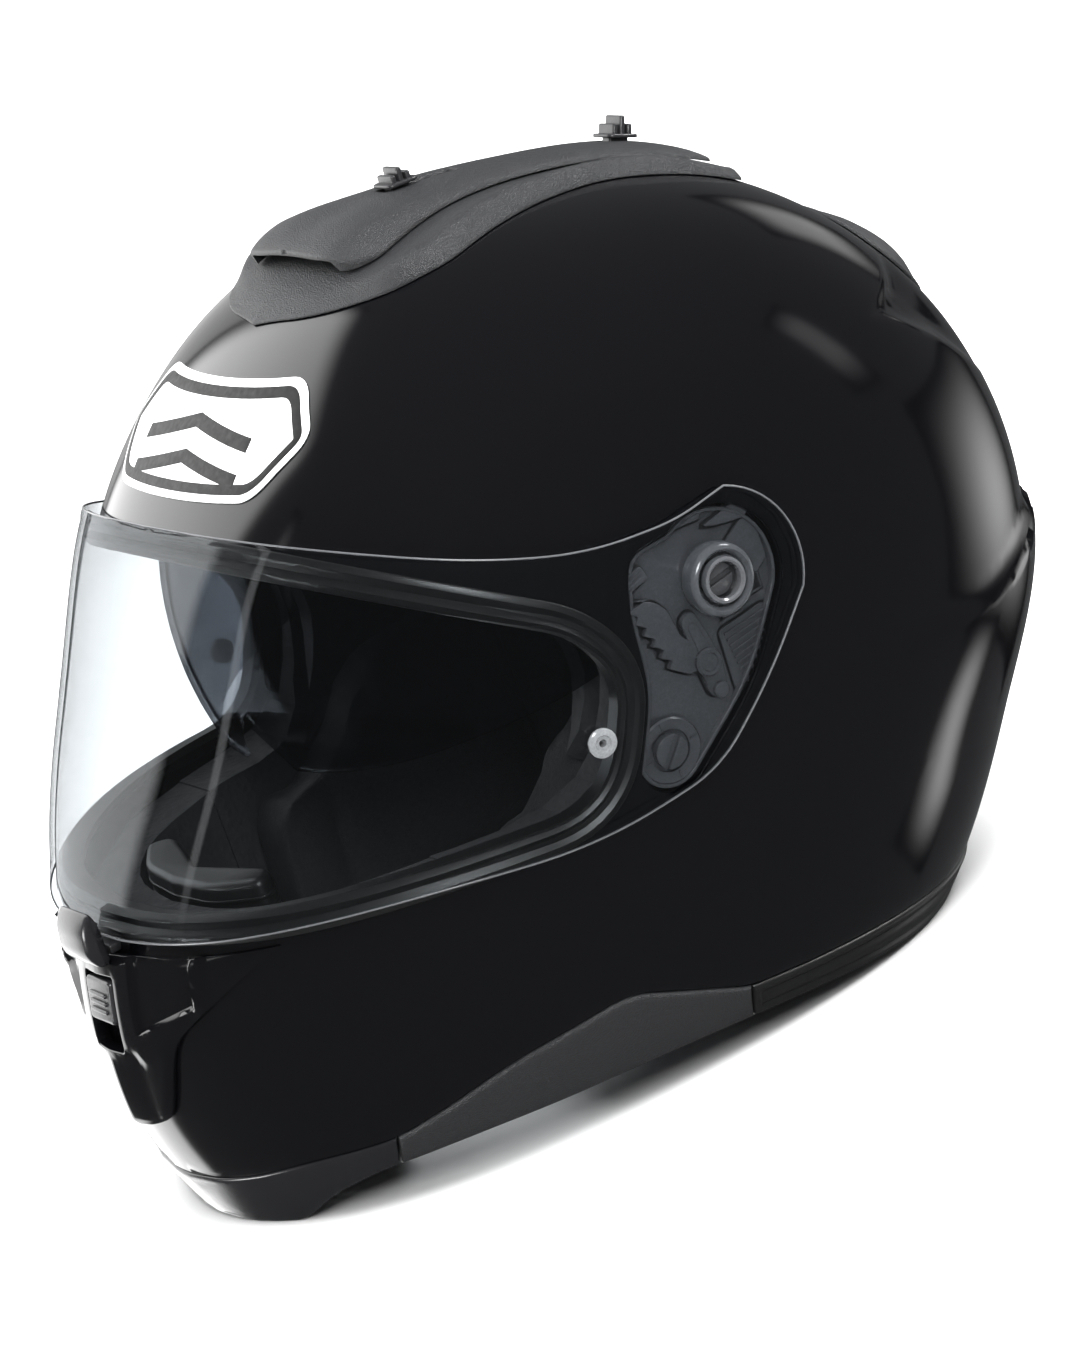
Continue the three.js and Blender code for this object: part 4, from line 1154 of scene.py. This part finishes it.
def build_rear_vent():
    cowl = Outline("back", [(0, 216), (36, 212, 12), (54, 200, 12), (48, 178, 14), (26, 170, 10), (0, 168)])
    slots = [(Outline("back", [(0, z + 2.2), (w, z + 2.2, 2), (w - 1, z - 2.2, 2), (0, z - 2.2)], step=1.2),
              -1) for z, w in ((186, 24), (198, 30))]

    def relief(places):
        inside = np.maximum(cowl.depth(places), 0)
        return 1.4 + 3.2 * smooth(inside / 12)

    body = panel(SHELL_FORM, [(cowl, 1), *slots], relief, 0.35, edge=0.6, spacing=2.6,
                 extra=[(cowl, (3, 6, 9))])
    piece_of("rear_vent_detail", "helmet", ["rear_vent_cover"], GRAINED, [body])


def across(p):
    """Places (f, z, x) points."""
    return np.stack([p[:, 2], CENTRE_F - p[:, 0], p[:, 1]], -1)


def build_lock():
    tab = rounded([(178.2, 94, 1.5), (182, 93, 3), (185.5, 98, 5), (184.2, 107, 6), (180, 112, 2.5),
                   (178.2, 107, 2)])
    piece_of("lock_tab_detail", "lock_tab", ["visor_lock_tab"], TRIM_GLOSS,
             [boss(tab, -12, 12, across, 3.5, foot=3.5)])
    low, high = (np.array(c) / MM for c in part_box("visor_lock_post"))
    f0, f1 = CENTRE_F - high[1], CENTRE_F - low[1]
    post = boss(box_line(f0, f1, low[2], high[2], 0.8), low[0], high[0], across, 0.6, foot=0.6)
    piece_of("lock_post_detail", "helmet", ["visor_lock_post"], SATIN, [post])


# ---------------------------------------------------------------- sun visor
SUN_FORM = Form(np.full(16, 107.0), np.full(8, 0.06), 101.0)
SUN_EDGE = Outline("side", [
    (-12, 140, 11), (12, 138, 8), (46, 131, 10), (80, 127, 20), (150, 114), (150, 222),
    (92, 205, 20), (60, 186, 20), (20, 168, 10), (-12, 164, 11),
])
NOSE = Outline("front", [(0, 141), (15, 128, 10), (26, 100), (0, 100)])


def build_sun_visor():
    hole = Outline("side", arc((0, PIVOT_Z), 3.5, 0, 330, 11), step=1.0)
    body = panel(SUN_FORM, [(SUN_EDGE, 1), (NOSE, -1), (hole, -1)], 0.7, -1.1, edge=0.5, under=0.5, spacing=4)
    piece_of("sun_visor_pane", "sun_visor", ["sun_visor"], SMOKE, [body])
    pin = lathe([(0.8, 97.7), (4.6, 97.7), (5.0, 98.3), (5.0, 99), (3.1, 99.2), (3.1, 109.8), (0.8, 109.8)],
                along_x((0, PIVOT_Z)), closed=False)
    for side, _ in SIDES:
        piece_on(side, "sun_pin_{}", "helmet", "sun_visor_pin_{}", SATIN, [pin])


# ---------------------------------------------------------------- linings
PADS = (
    # node, voxel and shrink in mm, swell cap in mm, fill
    ("cheek_pad_left", 5.0, 2.6, 5.0, 0.7), ("cheek_pad_right", 5.0, 2.6, 5.0, 0.7),
    ("crown_liner", 3.2, 0.7, 2.2, 0.5), ("neck_roll", 4.5, 2.2, 4.0, 0.7),
    ("strap_pad_left", 2.2, 0.7, 1.4, 0.5), ("strap_pad_right", 2.2, 0.7, 1.4, 0.5),
)


PAD_SWELL_FRAMES = 15
SEAM_DEPTH = 1.5


def places_of(mesh, normals=False):
    source, key = (mesh.vertex_normals, "vector") if normals else (mesh.vertices, "co")
    out = np.empty(len(source) * 3)
    source.foreach_get(key, out)
    return out.reshape(-1, 3)


def sink(mesh, depth):
    """Moves every vertex against its normal, depth in mm."""
    move = places_of(mesh, normals=True) * np.reshape(depth, (-1, 1)) * MM
    mesh.vertices.foreach_set("co", (places_of(mesh) - move).ravel())
    mesh.update()


def baked(piece):
    """The piece's mesh with its modifiers applied."""
    graph = bpy.context.evaluated_depsgraph_get()
    mesh = bpy.data.meshes.new_from_object(piece.evaluated_get(graph))
    piece.modifiers.clear()
    return mesh


def blank_pad(node, voxel, shrink):
    source = frame["nodes"][node]
    mesh = source.data.copy()
    mesh.transform(source.matrix_world)
    mesh.materials.clear()
    mesh.materials.append(FABRIC)
    pad = bpy.data.objects.new(f"{node}_soft", mesh)
    bpy.context.scene.collection.objects.link(pad)
    remesh = pad.modifiers.new("remesh", "REMESH")
    remesh.mode, remesh.voxel_size = "VOXEL", voxel * MM
    pad.data = baked(pad)
    sink(pad.data, shrink)
    return pad


def seams(node, co):
    """Sewn channels: how far each point sinks, in mm."""
    x, y, z = co.T / MM
    f = CENTRE_F - y
    if node == "crown_liner":
        lines = (np.abs(np.abs(x) - 30) / 2.2, np.abs(f - 38) / 2.2 + (z < 190) * 9)
    elif node == "neck_roll":
        lines = (np.abs(z - 50) / 1.8, np.abs(np.abs(x) - 26) / 1.8)
    elif node.startswith("cheek"):
        border = np.minimum.reduce([f + 16, 84 - f, z - 42, 116 - z])
        lines = (np.abs(border) / 2.4, np.abs(z - 76) / 2.0 + (border < 0) * 9)
    else:
        lines = (np.abs(np.abs(f - 10) - 13) / 1.2,)
    return SEAM_DEPTH * sum(np.exp(-np.minimum(d, 9) ** 2) for d in lines)


def build_pads():
    pads = [(blank_pad(node, voxel, shrink), node, cap, fill) for node, voxel, shrink, cap, fill in PADS]
    rest = [places_of(pad.data) for pad, *_ in pads]
    scene = bpy.context.scene
    for pad, *_ in pads:
        cloth = pad.modifiers.new("cloth", "CLOTH").settings
        cloth.use_pressure, cloth.uniform_pressure_force = True, 4.0
        cloth.effector_weights.gravity = 0
    for step in range(1, PAD_SWELL_FRAMES + 1):
        scene.frame_set(step)
    for pad, *_ in pads:
        pad.data = baked(pad)
    scene.frame_set(1)
    for (pad, node, cap, fill), start in zip(pads, rest):
        move = places_of(pad.data) - start
        far = np.linalg.norm(move, axis=1, keepdims=True) / MM
        co = start + move * np.minimum(1, cap / np.maximum(far, 1e-9))
        pad.data.vertices.foreach_set("co", co.ravel())
        pad.data.update()
        sink(pad.data, seams(node, co))
        pad.modifiers.new("finer", "SUBSURF").levels = 1
        pad.data = baked(pad)
        pad.data.polygons.foreach_set("use_smooth", [True] * len(pad.data.polygons))
        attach(pad, "helmet")
        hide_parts(node)


def flat_place(p):
    """Places (x, f, z) points."""
    return np.stack([p[:, 0], CENTRE_F - p[:, 1], p[:, 2]], -1)


CURTAIN_STEP = 2.5
CURTAIN_Z = 17.5
CURTAIN_THICKNESS = 0.8
ON_TOP = 300.0       # a height that counts as the upper half, for plan outlines used below it


def build_curtain():
    """The chin curtain: a stretched sheet, drawn in a little between its sewn edges."""
    def depth_in(p):
        return edge.depth({"plan": p, "side": np.full((len(p), 2), ON_TOP)})

    half = [(0, 149), (30, 146, 14), (50, 134, 10), (40, 122, 10), (0, 122)]
    edge = Outline("plan", half, step=CURTAIN_STEP)
    line = edge.line
    ways = (np.arange(a, b, CURTAIN_STEP) for a, b in zip(line.min(0), line.max(0)))
    grid = np.stack(np.meshgrid(*ways, indexing="ij"), -1).reshape(-1, 2)
    points = np.vstack([line, grid[depth_in(grid) > 1.2]])
    rim = [(i, (i + 1) % len(line)) for i in range(len(line))]
    out = delaunay_2d_cdt([Vector(p) for p in points], rim, [list(range(len(line)))], 1, 1e-5, False)
    flat = np.array([tuple(v) for v in out[0]])
    depth = np.maximum(depth_in(flat), 0)
    sag = 0.9 * smooth(depth / 9) + 0.25 * np.sin(flat[:, 0] / 5.5) * smooth(depth / 3)
    skins = [np.column_stack([flat, CURTAIN_Z + h * CURTAIN_THICKNESS - sag]) for h in (0.5, -0.5)]
    count = len(flat)
    faces = [tuple(f) for f in out[2]]
    walls = [(b, a, a + count, b + count) for a, b in boundary_edges(np.array([f[:3] for f in faces]))]
    under = [tuple(i + count for i in reversed(f)) for f in faces]
    part = outward((flat_place(np.vstack(skins)), faces + under + walls))
    curtain = piece_of("curtain_sheet", "helmet", ["chin_curtain"], FABRIC, [part], sharp=60)
    area_of(line) * 1e-6


def ribbon(path, f0, f1, thickness, place, edge=0.5):
    """A flat strap along (x, z) points, with rounded edges."""
    path = np.array(path, float)
    along = np.gradient(path, axis=0)
    along /= np.linalg.norm(along, axis=1, keepdims=True)
    side = np.stack([-along[:, 1], along[:, 0]], -1)
    h = thickness / 2
    section = [(f0, -h + edge), (f0 + edge, -h), (f1 - edge, -h), (f1, -h + edge),
               (f1, h - edge), (f1 - edge, h), (f0 + edge, h), (f0, h - edge)]
    points, faces, k = [], [], len(section)
    for p, n in zip(path, side):
        points.extend((p[0] + n[0] * w, f, p[1] + n[1] * w) for f, w in section)
    for i in range(len(path) - 1):
        a, b = i * k, (i + 1) * k
        faces.extend((a + j, a + (j + 1) % k, b + (j + 1) % k, b + j) for j in range(k))
    faces.extend([tuple(range(k))[::-1], tuple(range(len(points) - k, len(points)))])
    return outward((place(np.array(points)), faces))


STRAP_RUN = [(90.5, 78), (90.5, 36, 6), (88, 26, 4), (82, 19.5, 4), (72, 15.5, 4), (52, 12, 4)]
STRAP_TURN = (30.6, 10.2, 1)
STRAP_THICKNESS = 1.7
STITCH = 0.3


def build_straps():
    for (side, hand), ends in zip(SIDES, ([STRAP_TURN[:2]], [STRAP_TURN, (14.6, 10.1)])):
        path = resample(rounded(STRAP_RUN + ends, closed=False), 2.4, closed=False)
        path = thin_out(path, 0.8) * (hand, 1)
        parts = [ribbon(path, -0.8, 20.8, STRAP_THICKNESS, flat_place)]
        for f in (1.6, 18.4):
            for i in range(2, len(path) - 2, 2):
                parts.append(ribbon(path[i - 1:i + 1], f - STITCH, f + STITCH, STRAP_THICKNESS + 0.5,
                                    flat_place, edge=0.1))
        piece_of(f"strap_{side}_webbing", "helmet", [f"strap_{side}"], WEBBING, parts)
        near, far = sorted((92 * hand, 93.6 * hand))
        plate = rounded([(0.2, 60.2, 5), (19.8, 60.2, 5), (19.8, 81.8, 6), (0.2, 81.8, 6)])
        rivet = circle(3.6) + (10, 74)
        place = along_x((0, 0))
        anchor = [boss(plate, near, far, place, 0.3),
                  boss(rivet, near - 0.5, far + 0.5, place, 0.5, foot=0.5)]
        piece_of(f"anchor_{side}_plate", "helmet", [f"strap_anchor_{side}"], STEEL, anchor)


def build_buckle():
    body = [boss(box_line(2, 30, -3, 23, 4), 6.4, 8.4, flat_place, 0.3, foot=1.0),
            boss(box_line(2, 30, -3, 23, 4), 12.0, 14.0, flat_place, 1.0, foot=0.3)]
    for f0, f1 in ((-2.9, -0.7), (20.7, 22.9)):
        body.append(boss(box_line(3, 29, f0, f1, 1), 8.2, 12.2, flat_place, 0.1))
    for k in range(4):
        rib = box_line(24.4 + 1.3 * k, 25.0 + 1.3 * k, -1, 21, 0.2)
        body.append(boss(rib, 5.9, 6.6, flat_place, 0.1, foot=0.25))
    piece_of("buckle_housing", "helmet", ["buckle_body"], GRAINED, body)
    tongue = [boss(box_line(-14, 22, 0.5, 19.5, 3), 9.2, 10.9, flat_place, 0.25, foot=0.25)]
    for k in range(9):
        tongue.append(boss(box_line(-9 + 2.6 * k, -7.4 + 2.6 * k, 5, 15, 0.3), 10.8, 11.3, flat_place, 0.25))
    piece_of("buckle_tongue_detail", "helmet", ["buckle_tongue"], STEEL, tongue)
    lever = [boss(box_line(3, 26.6, 1, 19, 4), 14.5, 16.4, flat_place, 0.8, foot=0.5)]
    for k in range(4):
        lever.append(boss(box_line(5.5 + 2.4 * k, 6.7 + 2.4 * k, 4, 16, 0.5), 16.2, 17.0, flat_place, 0.4))
    piece_of("buckle_lever_detail", "buckle_lever", ["buckle_lever"], RED, lever)


def build_breath_guard():
    guard = Outline("plan", [(0, 148), (22, 146, 6), (40, 136, 6), (34, 128, 8), (0, 138)], step=1.5).line
    parts = [boss(guard, 84.4, 105.6, flat_place, 2.4, foot=2.0)]
    for k in range(4):
        parts.append(boss(inset(guard, -0.35), 88.2 + 3.6 * k, 89.4 + 3.6 * k, flat_place, 0.3, foot=0.3))
    piece_of("breath_guard_detail", "helmet", ["breath_guard"], RUBBER, parts)


def dress_foam():
    for node in ("eps_liner", "chin_eps"):
        materials = frame["nodes"][node].data.materials
        materials.clear()
        materials.append(FOAM)


# ---------------------------------------------------------------- stage
CAMERA_BACK = (63.96, 16.15)     # azimuth from straight ahead, elevation, degrees
CAMERA_ROLL = -19.54
CAMERA_RANGE = 1.5206
CAMERA_LENS = 128.0              # mm
AIM_OFFSET = (0.00983, -0.04239)  # from the pivot to the camera's aim, along its right and up


def build_camera():
    azimuth, elevation = map(math.radians, CAMERA_BACK)
    back = Vector((math.sin(azimuth) * math.cos(elevation), -math.cos(azimuth) * math.cos(elevation),
                   math.sin(elevation)))
    level = Vector((0, 0, 1)).cross(back).normalized()
    upright = back.cross(level)
    roll = math.radians(CAMERA_ROLL)
    right = level * math.cos(roll) + upright * math.sin(roll)
    up = back.cross(right)
    pivot = Vector((0, PIVOT.y, PIVOT.z)) * MM
    place = pivot + back * CAMERA_RANGE
    aim = pivot + right * AIM_OFFSET[0] + up * AIM_OFFSET[1]
    look = (place - aim).normalized()
    right = (right - look * right.dot(look)).normalized()
    up = look.cross(right)
    data = bpy.data.cameras.new("camera")       # its sensor is 36 mm, as Blender makes it
    data.lens = CAMERA_LENS
    data.clip_start, data.clip_end = 0.05, 60
    camera = bpy.data.objects.new("camera", data)
    camera.matrix_world = Matrix((
        (right.x, up.x, look.x, place.x), (right.y, up.y, look.y, place.y),
        (right.z, up.z, look.z, place.z), (0, 0, 0, 1),
    ))
    bpy.context.scene.collection.objects.link(camera)
    bpy.context.scene.camera = camera


def softbox(name, place, aim, size, power, seen=True):
    """A square area light; seen is whether the glossy surfaces show it."""
    data = bpy.data.lights.new(name, "AREA")
    data.shape = "RECTANGLE"
    data.size = data.size_y = size
    data.energy = power
    light = bpy.data.objects.new(name, data)
    light.location = place
    light.rotation_euler = (Vector(place) - Vector(aim)).to_track_quat("Z", "Y").to_euler()
    light.visible_glossy = seen
    light.visible_camera = False
    bpy.context.scene.collection.objects.link(light)
    return light


def glow_panel(name, place, aim, size, strength, soft):
    """A lit panel that fades to its edges, for the soft-edged reflections in the lacquer."""
    mesh = bpy.data.meshes.new(name)
    w, h = size[0] / 2, size[1] / 2
    mesh.from_pydata([(-w, -h, 0), (w, -h, 0), (w, h, 0), (-w, h, 0)], [], [(0, 1, 2, 3)])
    panel_object = bpy.data.objects.new(name, mesh)
    panel_object.location = place
    panel_object.rotation_euler = (Vector(aim) - Vector(place)).to_track_quat("Z", "Y").to_euler()
    bpy.context.scene.collection.objects.link(panel_object)
    material, nodes, _ = new_material(name)
    nodes.clear()
    where = add_node(nodes, "ShaderNodeTexCoord").outputs["Generated"]
    split = add_node(nodes, "ShaderNodeSeparateXYZ", where)
    fades = []
    for axis in ("X", "Y"):
        from_edge = math_node(nodes, "PINGPONG", split.outputs[axis], 0.5)
        fades.append(add_node(nodes, "ShaderNodeMapRange", Value=from_edge, interpolation_type="SMOOTHSTEP",
                              **{"From Max": soft}).outputs["Result"])
    power = math_node(nodes, "MULTIPLY", math_node(nodes, "MULTIPLY", *fades), strength)
    glow = add_node(nodes, "ShaderNodeEmission", Strength=power)
    output = add_node(nodes, "ShaderNodeOutputMaterial")
    put(glow.outputs["Emission"], output.inputs["Surface"])
    mesh.materials.append(material)
    panel_object.visible_camera = panel_object.visible_diffuse = False


FLOOR_HALF = 12.0
MIDDLE = (0, 0, 0.14)
GLOW_PANELS = (
    # name, place, aim, size, strength, softness of the edge
    ("right_front_panel", (-0.52, -0.27, 0.22), (0, -0.1, 0.15), (0.56, 1.6), 3.6, 0.12),
    ("right_wall", (-0.85, 0.1, 0.42), (0, -0.05, 0.2), (0.8, 1.0), 0.9, 0.3),
    ("front_strip", (-0.63, -1.35, 0.8), MIDDLE, (0.14, 1.3), 2.0, 0.35),
    ("rear_panel", (0.0, 1.05, -0.2), (0.1, 0.12, 0.12), (0.95, 0.7), 2.6, 0.5),
    ("wing_panel", (0.2, 0.82, -0.6), (0.107, 0.074, 0.06), (0.36, 0.36), 3.2, 0.5),
    ("spoiler_panel", (-0.5, 1.0, 0.45), MIDDLE, (0.4, 0.5), 1.0, 0.35),
    ("rear_left_panel", (0.75, 1.7, 0.75), MIDDLE, (0.35, 1.0), 1.0, 0.35),
)
DETAIL_LIGHTS = (("detail_key", (1.3, -0.5, 0.9), 22), ("detail_edge", (0.5, 1.3, 1.1), 26),
                 ("detail_front", (-0.5, -1.5, 0.25), 12))


def build_floor():
    """Pale paper, clear from below and hidden from reflections."""
    mesh = bpy.data.meshes.new("floor")
    h = FLOOR_HALF
    mesh.from_pydata([(-h, -h, 0), (h, -h, 0), (h, h, 0), (-h, h, 0)], [], [(0, 1, 2, 3)])
    floor = bpy.data.objects.new("floor", mesh)
    bpy.context.scene.collection.objects.link(floor)
    material, nodes, shader = new_material("floor_paper")
    set_shader(shader, Base_Color=(0.9, 0.9, 0.9, 1), Roughness=0.9, Specular_IOR_Level=0.1)
    below = add_node(nodes, "ShaderNodeNewGeometry").outputs["Backfacing"]
    clear = add_node(nodes, "ShaderNodeBsdfTransparent").outputs["BSDF"]
    either = add_node(nodes, "ShaderNodeMixShader", below, shader.outputs["BSDF"], clear)
    put(either.outputs["Shader"], nodes["Material Output"].inputs["Surface"])
    mesh.materials.append(material)
    floor.visible_glossy = False


def build_lights():
    world = bpy.data.worlds.new("studio")
    bpy.context.scene.world = world
    world.use_nodes = True
    background = world.node_tree.nodes["Background"]
    background.inputs["Color"].default_value = (0.92, 0.94, 0.96, 1)
    background.inputs["Strength"].default_value = 0.13
    softbox("overhead", (0.3, 0.5, 2.6), (0, 0.5, 0), 3.6, 420, seen=False)
    softbox("camera_fill", (1.6, -1.2, 1.5), MIDDLE, 0.8, 30, seen=False)
    for values in GLOW_PANELS:
        glow_panel(*values)
    details = bpy.data.collections.new("details")
    glossy = {LACQUER.name, CLEAR.name, SMOKE.name, "floor_paper"}
    for piece in bpy.context.scene.collection.all_objects:
        slots = {m.name for m in getattr(piece.data, "materials", []) if m} if piece.type == "MESH" else set()
        if slots and not slots & glossy:
            details.objects.link(piece)
    for name, place, power in DETAIL_LIGHTS:
        light = softbox(name, place, MIDDLE, 0.5, power)
        light.light_linking.receiver_collection = details


for build in (
    build_shell, build_gasket, build_visor, build_pods, build_crown, build_chin, build_trims, build_badge,
    build_rear_vent, build_lock, build_sun_visor, build_curtain, build_straps, build_buckle,
    build_breath_guard, dress_foam, build_pads, build_camera, build_floor, build_lights,
):
    build()

bpy.context.scene.view_settings.view_transform = "Standard"
